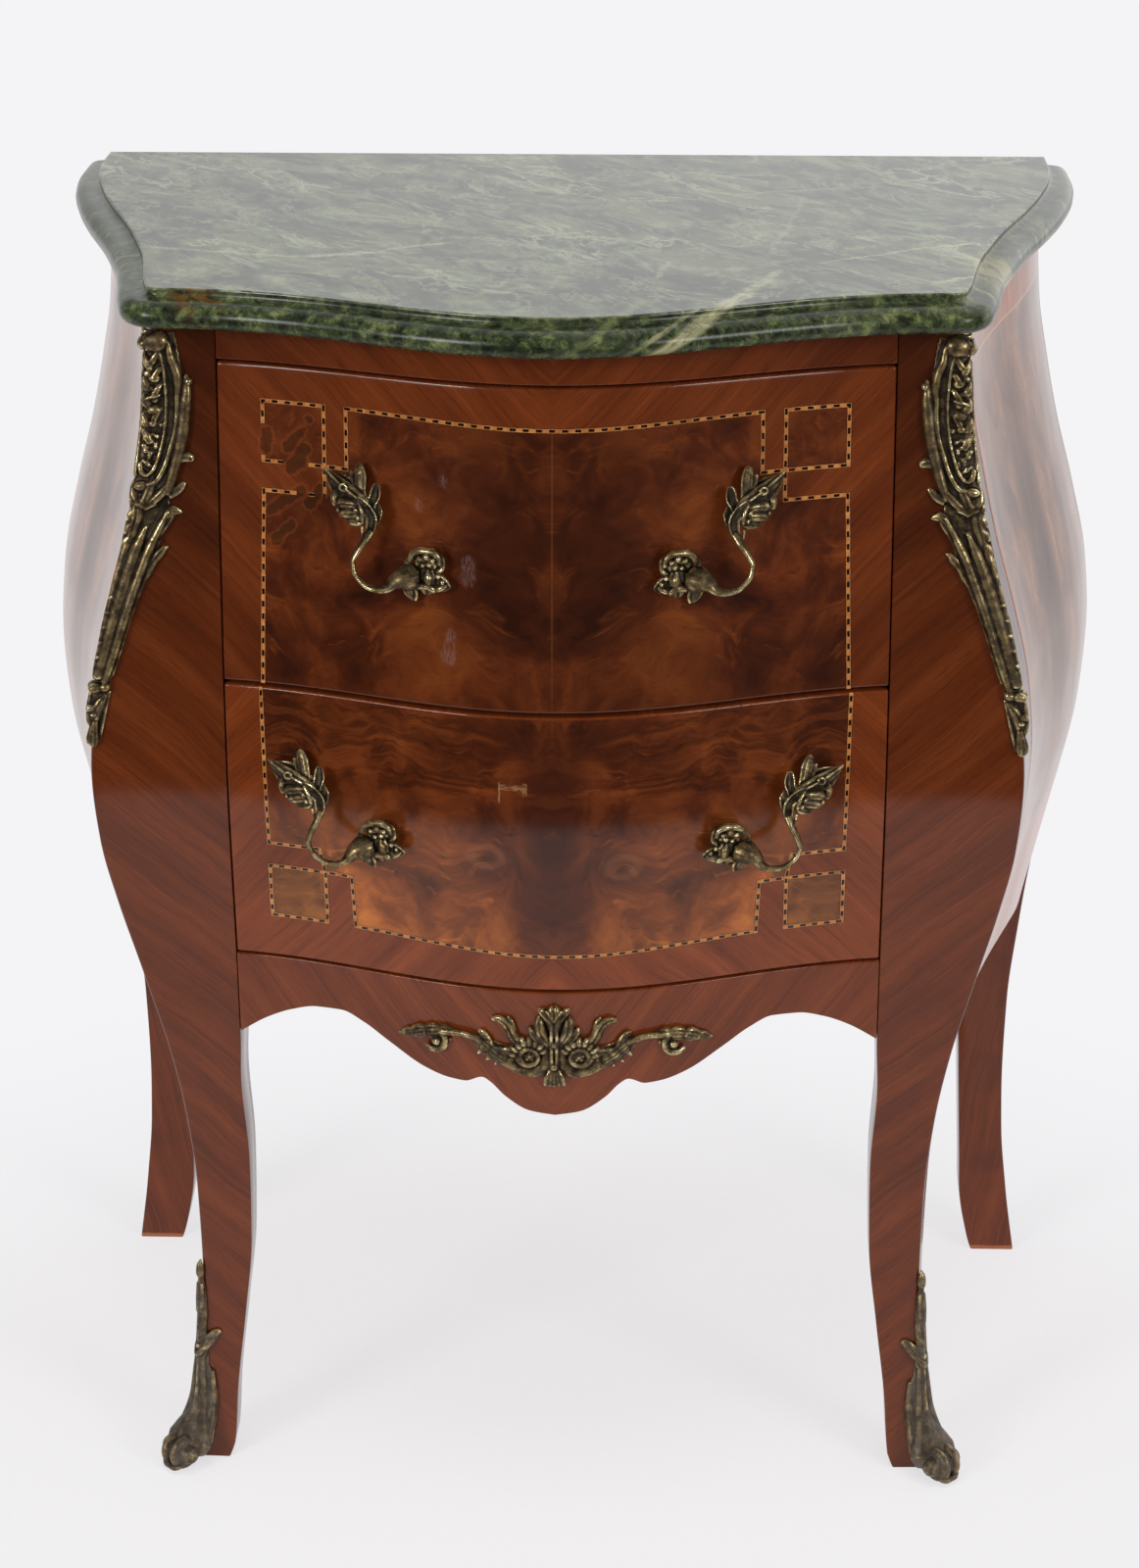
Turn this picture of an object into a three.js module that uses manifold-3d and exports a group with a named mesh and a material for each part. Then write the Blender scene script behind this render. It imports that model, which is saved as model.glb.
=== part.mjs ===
// A small two-drawer bombe commode with a moulded marble top and bronze mounts.
// Millimetres, +Z up, front towards -Y. The sizes below use Y = 0 at the marble's front corners,
// and the last lines move the whole piece so that its origin is the centre of its base.
import * as THREE from 'three';
import { mergeVertices } from 'three/addons/utils/BufferGeometryUtils.js';
import Module from 'manifold-3d';

const wasm = await Module();
wasm.setup();

// Overall sizes
const HEIGHT = 780;
const CARCASE_BACK = 352;
const GAP = 0.3;
const OVERRUN = 20;

// Marble top
const MARBLE_THICKNESS = 21;
const MARBLE_BACK_OVERHANG = 8;
const MARBLE_SIDE_OVERHANG = 8;
const MARBLE_CORNER_INSET = 1;
const MARBLE_SERPENTINE = 60;
const MARBLE_SERPENTINE_RUNOUT = 9.5;
const MARBLE_MOULDING = 15.5;
const MARBLE_CORNER_ROUND = 7;

// Swelling surfaces of the carcase
const CORNER_TOP_HALF = 230.5;
const BELLY_SWELL = 44;
const SIDE_FLARE = 66;
const LOW_SIDE_FLARE = 2.6;
const BACK_FOOT_KICK = 12;
const FRONT_SETBACK = 18.7;
const FRONT_BELLY = 21;
const SERPENTINE_DEPTH = 55;
const SERPENTINE_RUNOUT = 4.5;

// Legs, which run up as corner posts
const POST_WIDTH = 36.5;
const POST_DEPTH = 43.3;
const FRONT_FOOT_TAPER = 20;
const BACK_POST_OUTSET = 31.5;
const BACK_POST_DEPTH = 40;
const BACK_LEG_SLIMMING = 16;
const BACK_FOOT_INSET = 20;
const CORNER_EASE = 2.2;

// Rails, panels and boards
const SIDE_THICKNESS = 18;
const SIDE_APRON_DROP = 82;
const SIDE_APRON_RISE = 18.5;
const BACK_PANEL_THICKNESS = 10;
const BACK_PANEL_DROP = 57;
const BACK_RAIL_DEPTH = 21.4;
const BACK_RAIL_HEIGHT = 34.7;
const TOP_RAIL_HEIGHT = 23.2;
const TOP_RAIL_DEPTH = 38;
const APRON_THICKNESS = 20;
const APRON_DROP = 85.3;
const APRON_RISE = 55;
const BOTTOM_BOARD_THICKNESS = 12;
const BOTTOM_BOARD_DROP = 10;
const DUST_BOARD_THICKNESS = 6;
const RAIL_THICKNESS = 22;
const MIDDLE_RAIL_BACKSET = 33;
const RUNNER_UNDERLAP = 26;
const LOWER_RUNNER_WIDTH = 40;
const KICKER_OVERLAP = 19;
const GUIDE_WIDTH = 13;
const GUIDE_HEIGHT = 14;
const GLUE_BLOCK_SIDE = 24;
const GLUE_BLOCK_HEIGHT = 10;

// Drawers
const UPPER_FRONT_HEIGHT = 186.2;
const LOWER_FRONT_HEIGHT = 176.5;
const DRAWER_REVEAL = 1.5;
const BETWEEN_DRAWERS = 2.5;
const DRAWER_SIDE_REVEAL = 0.7;
const DRAWER_FRONT_MIN = 18;
const DRAWER_BOX_INSET = 2.3;
const DRAWER_SIDE_THICKNESS = 11;
const DRAWER_BOTTOM_THICKNESS = 6;
const DRAWER_BOTTOM_LIFT = 6;
const DRAWER_TOP_CLEARANCE = 12;
const DRAWER_END_CLEARANCE = 11;
const STOP_GAP = 0.5;
const RUNNING_GAP = 0.4;
const GUIDE_GAP = 0.7;
const KICKER_CLEARANCE = 1.5;

// Bronze mounts
const HANDLE_SIZE = 80;
const HANDLE_LIFT = 24;
const HANDLE_ROD = 2.5;
const UPPER_HANDLE_INSET = 121.8;
const UPPER_HANDLE_RISE = 77.2;
const LOWER_HANDLE_INSET = 92.3;
const LOWER_HANDLE_RISE = 89.2;
const LOWER_HANDLE_TURN_DEGREES = 9;
const SCREW_RADIUS = 2;
const SCREW_HOLE_RADIUS = 2.3;
const SCREW_HEAD_RADIUS = 4.2;
const SCREW_HEAD_HEIGHT = 2.2;
const SCREW_BITE = 3;
const SCREW_HOLE_DEPTH = 4;
const CORNER_MOUNT_DROP = 5;
const CORNER_MOUNT_LENGTH = 246;
const CORNER_MOUNT_WIDTH = 20;
const CORNER_MOUNT_RELIEF = 5;
const SABOT_HEIGHT = 142;
const SABOT_WIDTH = 12;
const SABOT_TOE = 20;
const SABOT_TOE_RADIUS = 12.3;
const SABOT_TOE_SPREAD = 7;
const SABOT_FLOOR = 0.4;
const ARRIS_WRAP = 9;
const APRON_MOUNT_HALF = 94;
const APRON_MOUNT_HEIGHT = 53;
const APRON_MOUNT_DROP = 62;
const APRON_MOUNT_RELIEF = 5;

// Places that follow from the sizes
const MARBLE_SERPENTINE_HALF = CORNER_TOP_HALF + MARBLE_SERPENTINE_RUNOUT;
const SERPENTINE_HALF = CORNER_TOP_HALF + SERPENTINE_RUNOUT;
const POST_INNER = CORNER_TOP_HALF - POST_WIDTH;
const BACK_POST_INNER = CORNER_TOP_HALF + BACK_POST_OUTSET;
const CARCASE_TOP = HEIGHT - MARBLE_THICKNESS - GAP;
const UPPER_FRONT_TOP = CARCASE_TOP - TOP_RAIL_HEIGHT - DRAWER_REVEAL;
const UPPER_FRONT_LOW = UPPER_FRONT_TOP - UPPER_FRONT_HEIGHT;
const LOWER_FRONT_TOP = UPPER_FRONT_LOW - BETWEEN_DRAWERS;
const LOWER_FRONT_LOW = LOWER_FRONT_TOP - LOWER_FRONT_HEIGHT;
const APRON_TOP = LOWER_FRONT_LOW - DRAWER_REVEAL;
const APRON_LOW = APRON_TOP - APRON_DROP;
const DRAWER_HALF = POST_INNER - DRAWER_SIDE_REVEAL;
const DRAWER_SIDE_OUTER = DRAWER_HALF - DRAWER_BOX_INSET;
const DRAWER_SIDE_INNER = DRAWER_SIDE_OUTER - DRAWER_SIDE_THICKNESS;
const POST_BACK = FRONT_SETBACK + POST_DEPTH;
const BACK_POST_FRONT = CARCASE_BACK - BACK_POST_DEPTH;
const RAIL_HALF = POST_INNER - GAP;
const BACK_RAIL_HALF = BACK_POST_INNER - GAP;
const BACK_PANEL_FRONT = CARCASE_BACK - GAP - BACK_PANEL_THICKNESS;
const BACK_RAIL_FRONT = BACK_PANEL_FRONT - GAP - BACK_RAIL_DEPTH;
const MIDDLE_RAIL_BACK = POST_BACK + MIDDLE_RAIL_BACKSET;
const MIDDLE_RAIL_MIDDLE = (UPPER_FRONT_LOW + LOWER_FRONT_TOP) / 2;
const MIDDLE_RAIL_LOW = MIDDLE_RAIL_MIDDLE - RAIL_THICKNESS / 2;
const MIDDLE_RAIL_TOP = MIDDLE_RAIL_MIDDLE + RAIL_THICKNESS / 2;
const BOTTOM_BOARD_TOP = APRON_TOP - BOTTOM_BOARD_DROP;
const BOTTOM_BOARD_LOW = BOTTOM_BOARD_TOP - BOTTOM_BOARD_THICKNESS;
const LOWER_BOX_LOW = LOWER_FRONT_LOW + DRAWER_REVEAL * 2;
const LOWER_BOX_TOP = LOWER_FRONT_TOP - DRAWER_TOP_CLEARANCE - DRAWER_BOTTOM_LIFT / 2;
const UPPER_BOX_LOW = MIDDLE_RAIL_TOP + RUNNING_GAP;
const UPPER_BOX_TOP = UPPER_FRONT_TOP - DRAWER_TOP_CLEARANCE;
const DRAWER_BACK_PLANE = BACK_RAIL_FRONT - DRAWER_END_CLEARANCE;

// Shapes of the curves: each row is a place and a reach, as shares of the sizes named above
const bellyShares = [
  [0, 0.05], [0.066, -0.02], [0.132, -0.08], [0.191, -0.1], [0.264, -0.08], [0.33, 0.02], [0.395, 0.2],
  [0.457, 0.46], [0.527, 0.76], [0.585, 0.945], [0.639, 1], [0.693, 0.93], [0.76, 0.68], [0.817, 0.42],
  [0.87, 0.23], [0.923, 0.08], [1, 0],
];
const frontBowShares = [
  [0, -0.76], [0.053, -0.857], [0.132, -0.905], [0.237, -0.667], [0.33, -0.381], [0.415, 0.048],
  [0.485, 0.286], [0.567, 0.714], [0.646, 1], [0.72, 0.952], [0.817, 0.667], [0.923, 0.238], [1, 0],
];
const sideFlareShares = [
  [0, 0], [0.06, 0.03], [0.18, 0.14], [0.3, 0.27], [0.41, 0.42], [0.57, 0.67], [0.705, 0.845],
  [0.84, 0.96], [0.92, 1], [1, 0.995],
];
const lowFlareShares = [[0, 0.55], [0.1, 0.9], [0.2, 1], [0.4, 1], [0.46, 0.5], [0.52, 0], [1, 0]];
const frontFootShares = [
  [0, 0.97], [0.0145, 0.78], [0.066, 0.635], [0.138, 0.3], [0.211, 0], [0.288, -0.06], [0.361, 0.07],
  [0.411, 0], [1, 0],
];
const backKickShares = [
  [0, 1], [0.066, 0.6], [0.132, 0.37], [0.2, 0.32], [0.33, 0.35], [0.4, 0.17], [0.46, 0], [1, 0],
];
const backFootShares = [[0, 1], [0.013, 0.85], [0.066, 0.5], [0.094, 0.46], [0.19, 0.3], [0.395, 0], [1, 0]];
const backSlimmingShares = [[0, 1], [0.13, 0.72], [0.2, 0.6], [0.33, 0.3], [0.41, 0], [1, 0]];
const apronEdgeShares = [
  [0, 0], [0.08, 0.05], [0.155, 0.22], [0.2, 0.385], [0.225, 0.435], [0.28, 0.36], [0.33, 0.375],
  [0.405, 0.46], [0.52, 0.71], [0.6, 0.895], [0.67, 0.995], [0.75, 0.985], [0.83, 0.905], [0.91, 0.77],
  [1, 0.555],
];
const sideEdgeShares = [
  [0, 0], [0.12, 0.3], [0.25, 0.56], [0.38, 0.8], [0.48, 0.95], [0.55, 1], [0.62, 0.94], [0.75, 0.72],
  [0.88, 0.4], [1, 0],
];
const marbleFlareShares = [
  [0, 0], [0.07, 0.073], [0.11, 0.1], [0.23, 0.19], [0.305, 0.277], [0.43, 0.44], [0.583, 0.68],
  [0.694, 0.83], [0.833, 0.966], [0.917, 1], [1, 0.993],
];
const marbleProfileShares = [
  [0.45, 0], [0.82, 0.07], [0.98, 0.22], [1, 0.38], [0.93, 0.54], [0.74, 0.67], [0.47, 0.735],
  [0.22, 0.745], [0.1, 0.78], [0, 0.8], [0, 0.97], [-0.03, 1],
];
const SERPENTINE_POWER = 1.15;
const MARBLE_SERPENTINE_POWER = 1.35;

// A smooth curve through the rows of a table, read at any place, that never swings past its rows
function tableCurve(rows) {
  const steep = rows.slice(1).map((row, i) => (row[1] - rows[i][1]) / (row[0] - rows[i][0]));
  const slope = rows.map((row, i) => {
    const [before, after] = [steep[i - 1] ?? steep[i], steep[i] ?? steep[i - 1]];
    return before * after > 0 ? (2 * before * after) / (before + after) : 0;
  });
  return (place) => {
    const last = rows.length - 1;
    if (place <= rows[0][0]) return rows[0][1] + slope[0] * (place - rows[0][0]);
    if (place >= rows[last][0]) return rows[last][1] + slope[last] * (place - rows[last][0]);
    const i = rows.findIndex((row) => row[0] > place) - 1;
    const width = rows[i + 1][0] - rows[i][0];
    const t = (place - rows[i][0]) / width;
    const rise = (2 * t ** 3 - 3 * t ** 2 + 1) * rows[i][1] + (3 * t ** 2 - 2 * t ** 3) * rows[i + 1][1];
    const lean = (t ** 3 - 2 * t ** 2 + t) * slope[i] + (t ** 3 - t ** 2) * slope[i + 1];
    return rise + lean * width;
  };
}

const belly = tableCurve(bellyShares);
const frontBow = tableCurve(frontBowShares);
const sideFlare = tableCurve(sideFlareShares);
const lowFlare = tableCurve(lowFlareShares);
const frontFoot = tableCurve(frontFootShares);
const backKick = tableCurve(backKickShares);
const backFoot = tableCurve(backFootShares);
const backSlimming = tableCurve(backSlimmingShares);
const apronEdge = tableCurve(apronEdgeShares);
const sideEdge = tableCurve(sideEdgeShares);
const marbleFlare = tableCurve(marbleFlareShares);

// The double curve of the front, which swells forward at the middle
function wave(x, half, power) {
  const share = Math.min(Math.abs(x) / half, 1);
  return ((1 + Math.cos(Math.PI * share)) / 2) ** power;
}
const arrisX = (z) => CORNER_TOP_HALF + BELLY_SWELL * belly(z / CARCASE_TOP);
const serpentine = (x) => SERPENTINE_DEPTH * wave(x, SERPENTINE_HALF, SERPENTINE_POWER);
const frontY = (x, z) => FRONT_SETBACK - FRONT_BELLY * frontBow(z / CARCASE_TOP) - serpentine(x);
const arrisY = (z) => frontY(arrisX(z), z);
const sideReach = (z) => SIDE_FLARE + LOW_SIDE_FLARE * lowFlare(z / CARCASE_TOP);
const sideX = (y, z) => arrisX(z) + sideReach(z) * sideFlare((y - arrisY(z)) / (CARCASE_BACK - arrisY(z)));
const drawerInnerY = (x, top, low) => Math.max(frontY(x, top), frontY(x, low)) + DRAWER_FRONT_MIN;
const sideInnerX = (y, low, high) => Math.min(sideX(y, low), sideX(y, high)) - SIDE_THICKNESS - GAP;

const spread = (from, to, count) =>
  Array.from({ length: count + 1 }, (_, i) => from + ((to - from) * i) / count);
const vec = (x, y, z) => new THREE.Vector3(x, y, z);

// Geometry helpers: every function returns one closed body whose faces point outwards
function closedGeometry(points, triangles) {
  const position = points.flatMap((p) => [p.x, p.y, p.z]);
  const geometry = new THREE.BufferGeometry();
  geometry.setAttribute('position', new THREE.Float32BufferAttribute(position, 3));
  let volume = 0;
  for (const [a, b, c] of triangles) volume += points[a].dot(points[b].clone().cross(points[c]));
  const facing = volume > 0 ? triangles : triangles.map(([a, b, c]) => [a, c, b]);
  geometry.setIndex(facing.flat());
  return geometry;
}

// A body through horizontal outlines that all have the same number of points
function loft(outlines) {
  const count = outlines[0].length;
  const points = outlines.flat();
  const triangles = [];
  for (let k = 0; k + 1 < outlines.length; k++) {
    for (let i = 0; i < count; i++) {
      const [a, b] = [k * count + i, k * count + ((i + 1) % count)];
      triangles.push([a, b, b + count], [a, b + count, a + count]);
    }
  }
  const flat = (outline) => outline.map((p) => new THREE.Vector2(p.x, p.y));
  const cap = (outline) => THREE.ShapeUtils.triangulateShape(flat(outline), []);
  const turned = THREE.ShapeUtils.isClockWise(outlines[0]) ? 1 : 0;
  const top = (outlines.length - 1) * count;
  for (const [a, b, c] of cap(outlines[0])) triangles.push(turned ? [a, b, c] : [a, c, b]);
  for (const [a, b, c] of cap(outlines.at(-1))) {
    triangles.push(turned ? [top + a, top + c, top + b] : [top + a, top + b, top + c]);
  }
  return closedGeometry(points, triangles);
}

// A panel between two grids of points, the face and the back
function panel(columns, rows, facePoint, backPoint) {
  const points = [];
  for (const place of [facePoint, backPoint]) {
    for (const u of columns) for (const v of rows) points.push(place(u, v));
  }
  const [wide, high] = [columns.length, rows.length];
  const half = wide * high;
  const at = (i, j, side) => side * half + i * high + j;
  const triangles = [];
  const quad = (a, b, c, d) => triangles.push([a, b, c], [a, c, d]);
  for (let i = 0; i + 1 < wide; i++) {
    for (let j = 0; j + 1 < high; j++) {
      quad(at(i, j, 0), at(i + 1, j, 0), at(i + 1, j + 1, 0), at(i, j + 1, 0));
      quad(at(i, j, 1), at(i, j + 1, 1), at(i + 1, j + 1, 1), at(i + 1, j, 1));
    }
    quad(at(i, 0, 0), at(i, 0, 1), at(i + 1, 0, 1), at(i + 1, 0, 0));
    quad(at(i, high - 1, 0), at(i + 1, high - 1, 0), at(i + 1, high - 1, 1), at(i, high - 1, 1));
  }
  for (let j = 0; j + 1 < high; j++) {
    quad(at(0, j, 0), at(0, j + 1, 0), at(0, j + 1, 1), at(0, j, 1));
    quad(at(wide - 1, j, 0), at(wide - 1, j, 1), at(wide - 1, j + 1, 1), at(wide - 1, j + 1, 0));
  }
  return closedGeometry(points, triangles);
}

function box(x0, x1, y0, y1, z0, z1) {
  const geometry = new THREE.BoxGeometry(x1 - x0, y1 - y0, z1 - z0);
  return geometry.translate((x0 + x1) / 2, (y0 + y1) / 2, (z0 + z1) / 2);
}

function board(corners, low, high) {
  const shape = new THREE.Shape(corners.map(([x, y]) => new THREE.Vector2(x, y)));
  const geometry = new THREE.ExtrudeGeometry(shape, { depth: high - low, bevelEnabled: false });
  return geometry.translate(0, 0, low);
}

function mirrored(geometry) {
  const copy = geometry.index ? geometry.toNonIndexed() : geometry.clone();
  const place = copy.getAttribute('position');
  for (let i = 0; i < place.count; i += 3) {
    const corner = [0, 2, 1].map((k) => [-place.getX(i + k), place.getY(i + k), place.getZ(i + k)]);
    corner.forEach((p, k) => place.setXYZ(i + k, ...p));
  }
  return copy;
}

function solid(geometry) {
  const bare = new THREE.BufferGeometry();
  bare.setAttribute('position', geometry.getAttribute('position'));
  bare.setIndex(geometry.index);
  const merged = mergeVertices(bare);
  const mesh = new wasm.Mesh({
    numProp: 3,
    vertProperties: new Float32Array(merged.getAttribute('position').array),
    triVerts: new Uint32Array(merged.index.array),
  });
  return new wasm.Manifold(mesh);
}

function fromSolid(manifold) {
  const mesh = manifold.getMesh();
  const geometry = new THREE.BufferGeometry();
  geometry.setAttribute('position', new THREE.BufferAttribute(mesh.vertProperties, mesh.numProp));
  geometry.setIndex(new THREE.BufferAttribute(mesh.triVerts, 1));
  return geometry;
}

const joinAll = (geometries) => geometries.map(solid).reduce((whole, piece) => whole.add(piece));

const ARC_SIDES = 8;

// A turned piece along Y: rows are radius and Y
function turnedAlongY(rows, x, z) {
  const rising = rows[0][1] < rows.at(-1)[1] ? rows : [...rows].reverse();
  const points = rising.map(([radius, y]) => new THREE.Vector2(radius, y));
  return new THREE.LatheGeometry(points, ARC_SIDES).translate(x, 0, z);
}

// A tapering stroke of cast bronze. Each row is across, along, lift and radius, and place() sets it
// on the surface that carries it
const STROKE_SIDES = 6;
const HALF_STEP = 0.5;
function stroke(rows, place, flatness) {
  const paths = [0, 1, 2, 3].map((k) => tableCurve(rows.map((row, i) => [i, row[k]])));
  const end = rows.length - 1;
  const centre = (t, extra) => place(paths[0](t), paths[1](t), paths[2](t) + extra);
  const outlines = rows.map((row, t) => {
    const here = centre(t, 0);
    const reach = row[3];
    const behind = centre(Math.max(t - HALF_STEP, 0), 0);
    const ahead = centre(Math.min(t + HALF_STEP, end), 0).sub(behind).normalize();
    const outward = centre(t, reach).sub(here).normalize();
    const aside = ahead.clone().cross(outward).normalize();
    const lifted = aside.clone().cross(ahead).normalize();
    const onRing = (angle) => here.clone()
      .addScaledVector(aside, reach * Math.cos(angle))
      .addScaledVector(lifted, reach * flatness * Math.sin(angle));
    return { here, ahead, reach, ring: spread(0, 2 * Math.PI, STROKE_SIDES).slice(0, -1).map(onRing) };
  });
  const first = outlines[0];
  const last = outlines.at(-1);
  const points = outlines.flatMap((outline) => outline.ring);
  const startTip = points.push(first.here.clone().addScaledVector(first.ahead, -first.reach * flatness)) - 1;
  const endTip = points.push(last.here.clone().addScaledVector(last.ahead, last.reach * flatness)) - 1;
  const triangles = [];
  for (let i = 0; i < STROKE_SIDES; i++) {
    const next = (i + 1) % STROKE_SIDES;
    for (let k = 0; k + 1 < outlines.length; k++) {
      const [a, b] = [k * STROKE_SIDES + i, k * STROKE_SIDES + next];
      triangles.push([a, b, b + STROKE_SIDES], [a, b + STROKE_SIDES, a + STROKE_SIDES]);
    }
    const lastRing = end * STROKE_SIDES;
    triangles.push([startTip, next, i], [endTip, lastRing + i, lastRing + next]);
  }
  return closedGeometry(points, triangles);
}

// The rows of a stroke with their radius shares turned into lengths
function thickened(rows, unit) {
  return rows.map(([across, along, lift, share]) => [across, along, lift, share * unit]);
}

// Scene graph and finishes
const commode = new THREE.Group();
const finishes = {
  veneer: { color: 0x7a3a1e, roughness: 0.3, metalness: 0 },
  oak: { color: 0xa87e52, roughness: 0.75, metalness: 0 },
  pine: { color: 0xc09a68, roughness: 0.8, metalness: 0 },
  marble: { color: 0x35493a, roughness: 0.2, metalness: 0 },
  bronze: { color: 0x6f5a34, roughness: 0.45, metalness: 1 },
  steel: { color: 0x77756f, roughness: 0.5, metalness: 1 },
};
function add(name, finish, geometry) {
  const material = new THREE.MeshStandardMaterial({ name: finish, ...finishes[finish] });
  const mesh = new THREE.Mesh(geometry, material);
  mesh.name = name;
  commode.add(mesh);
}
function addPair(name, finish, geometry) {
  add(`${name}_right`, finish, geometry);
  add(`${name}_left`, finish, mirrored(geometry));
}

// Marble top: one slab with a rounded moulding that stops at the straight back edge
const marbleBack = CARCASE_BACK + MARBLE_BACK_OVERHANG;
const marbleCorner = CORNER_TOP_HALF - MARBLE_CORNER_INSET;
const marbleSideX = (y) => marbleCorner + (SIDE_FLARE + MARBLE_SIDE_OVERHANG) * marbleFlare(y / marbleBack);
const marbleFrontY = (x) => -MARBLE_SERPENTINE * wave(x, MARBLE_SERPENTINE_HALF, MARBLE_SERPENTINE_POWER);
const MARBLE_SIDE_STEPS = 9;
const MARBLE_FRONT_STEPS = 11;
const MARBLE_CORNER_STEPS = 3;
function marbleRightEdge() {
  const side = spread(marbleBack, MARBLE_CORNER_ROUND, MARBLE_SIDE_STEPS)
    .map((y) => vec(marbleSideX(y), y, 0));
  const corner = vec(marbleCorner, 0, 0);
  const after = marbleCorner - MARBLE_CORNER_ROUND;
  const curve = new THREE.QuadraticBezierCurve3(side.at(-1), corner, vec(after, marbleFrontY(after), 0));
  const turn = curve.getPoints(MARBLE_CORNER_STEPS);
  const front = spread(after, 0, MARBLE_FRONT_STEPS).slice(1).map((x) => vec(x, marbleFrontY(x), 0));
  return [...side, ...turn.slice(1), ...front];
}
function marbleOutlines() {
  const right = marbleRightEdge();
  const left = right.slice(0, -1).reverse().map((p) => vec(-p.x, p.y, 0));
  const edge = [...right, ...left];
  const outward = edge.map((p, i) => {
    if (i === 0 || i === edge.length - 1) return vec(Math.sign(p.x), 0, 0);
    const along = edge[i + 1].clone().sub(edge[i - 1]).normalize();
    return vec(along.y, -along.x, 0);
  });
  outward.forEach((n, i) => {
    if (n.dot(edge[i].clone().sub(vec(0, marbleBack / 2, 0))) < 0) n.negate();
  });
  return marbleProfileShares.map(([reach, rise]) => edge.map((p, i) => {
    const moved = p.clone().addScaledVector(outward[i], reach * MARBLE_MOULDING);
    return vec(moved.x, moved.y, HEIGHT - MARBLE_THICKNESS * (1 - rise));
  }));
}
add('marble_top', 'marble', loft(marbleOutlines()));

// Front legs, one piece from the floor to the marble. grow makes a slightly larger copy, which cuts
// the back of the mounts to the wood's own curve
const legLevelShares = [
  0, 0.015, 0.04, 0.08, 0.13, 0.18, 0.23, 0.28, 0.33, 0.37, 0.411, 0.45, 0.49, 0.53, 0.57, 0.61, 0.65, 0.69,
  0.73, 0.77, 0.81, 0.85, 0.89, 0.93, 0.965, 1,
];
const FRONT_FACE_STEPS = 3;
const POST_SIDE_STEPS = 2;
function frontLegOutline(z, grow) {
  const inner = POST_INNER + FRONT_FOOT_TAPER * frontFoot(z / CARCASE_TOP);
  const corner = arrisX(z);
  const face = spread(inner, corner - CORNER_EASE, FRONT_FACE_STEPS)
    .map((x) => vec(x, frontY(x, z) - grow, z));
  const side = spread(arrisY(z) + CORNER_EASE, POST_BACK, POST_SIDE_STEPS)
    .map((y) => vec(sideX(y, z) + grow, y, z));
  return [...face, ...side, vec(inner, POST_BACK, z)];
}
const frontLeg = (grow) => loft(legLevelShares.map((share) => frontLegOutline(share * CARCASE_TOP, grow)));
addPair('front_leg', 'veneer', frontLeg(0));

// Back legs, with a foot that kicks outwards
function backLegOutline(z) {
  const share = z / CARCASE_TOP;
  const inner = BACK_POST_INNER + BACK_FOOT_INSET * backFoot(share);
  const front = BACK_POST_FRONT + BACK_LEG_SLIMMING * backSlimming(share);
  const kick = BACK_FOOT_KICK * backKick(share);
  const outer = spread(front, CARCASE_BACK, POST_SIDE_STEPS).map((y) => vec(sideX(y, z) + kick, y, z));
  return [vec(inner, front, z), ...outer, vec(inner, CARCASE_BACK, z)];
}
addPair('back_leg', 'veneer', loft(legLevelShares.map((share) => backLegOutline(share * CARCASE_TOP))));

// Side panels: bombe boards between the posts, with a shaped lower edge
const SIDE_COLUMNS = 10;
const SIDE_ROWS = 14;
const sidePanelFront = POST_BACK + GAP;
const sidePanelBack = BACK_POST_FRONT - GAP;
const sidePanelLow = APRON_TOP - SIDE_APRON_DROP;
function sidePanel() {
  const height = (y, share) => {
    const along = (y - sidePanelFront) / (sidePanelBack - sidePanelFront);
    const low = sidePanelLow + SIDE_APRON_RISE * sideEdge(along);
    return low + (CARCASE_TOP - low) * share;
  };
  const columns = spread(sidePanelFront, sidePanelBack, SIDE_COLUMNS);
  const face = (y, share) => vec(sideX(y, height(y, share)), y, height(y, share));
  const back = (y, share) => face(y, share).sub(vec(SIDE_THICKNESS, 0, 0));
  return panel(columns, spread(0, 1, SIDE_ROWS), face, back);
}
addPair('side_panel', 'veneer', sidePanel());

// Back of the carcase
const backPanelLow = APRON_TOP - BACK_PANEL_DROP;
const acrossBack = (front, back, low, high) => box(-BACK_RAIL_HALF, BACK_RAIL_HALF, front, back, low, high);
const backRail = (low, high) => acrossBack(BACK_RAIL_FRONT, BACK_PANEL_FRONT - GAP, low, high);
add('back_panel', 'pine', acrossBack(BACK_PANEL_FRONT, CARCASE_BACK - GAP, backPanelLow, CARCASE_TOP));
add('top_back_rail', 'pine', backRail(CARCASE_TOP - BACK_RAIL_HEIGHT, CARCASE_TOP));
add('middle_back_rail', 'pine', backRail(MIDDLE_RAIL_LOW, MIDDLE_RAIL_TOP));
add('bottom_back_rail', 'pine', backRail(backPanelLow, BOTTOM_BOARD_LOW - GAP));

// Front rails and apron, which follow the double curve
const FRONT_COLUMNS = 16;
const APRON_COLUMNS = 36;
const APRON_ROWS = 3;
const railColumns = spread(-RAIL_HALF, RAIL_HALF, FRONT_COLUMNS);
add('top_front_rail', 'veneer', panel(railColumns, spread(CARCASE_TOP - TOP_RAIL_HEIGHT, CARCASE_TOP, 1),
  (x, z) => vec(x, frontY(x, z), z),
  (x, z) => vec(x, frontY(x, CARCASE_TOP) + TOP_RAIL_DEPTH, z)));
const middleRailFront = (x) => Math.max(drawerInnerY(x, UPPER_FRONT_TOP, UPPER_FRONT_LOW),
  drawerInnerY(x, LOWER_FRONT_TOP, LOWER_FRONT_LOW)) + STOP_GAP;
add('middle_front_rail', 'oak', panel(railColumns, [MIDDLE_RAIL_LOW, MIDDLE_RAIL_TOP],
  (x, z) => vec(x, middleRailFront(x), z),
  (x, z) => vec(x, MIDDLE_RAIL_BACK, z)));
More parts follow.
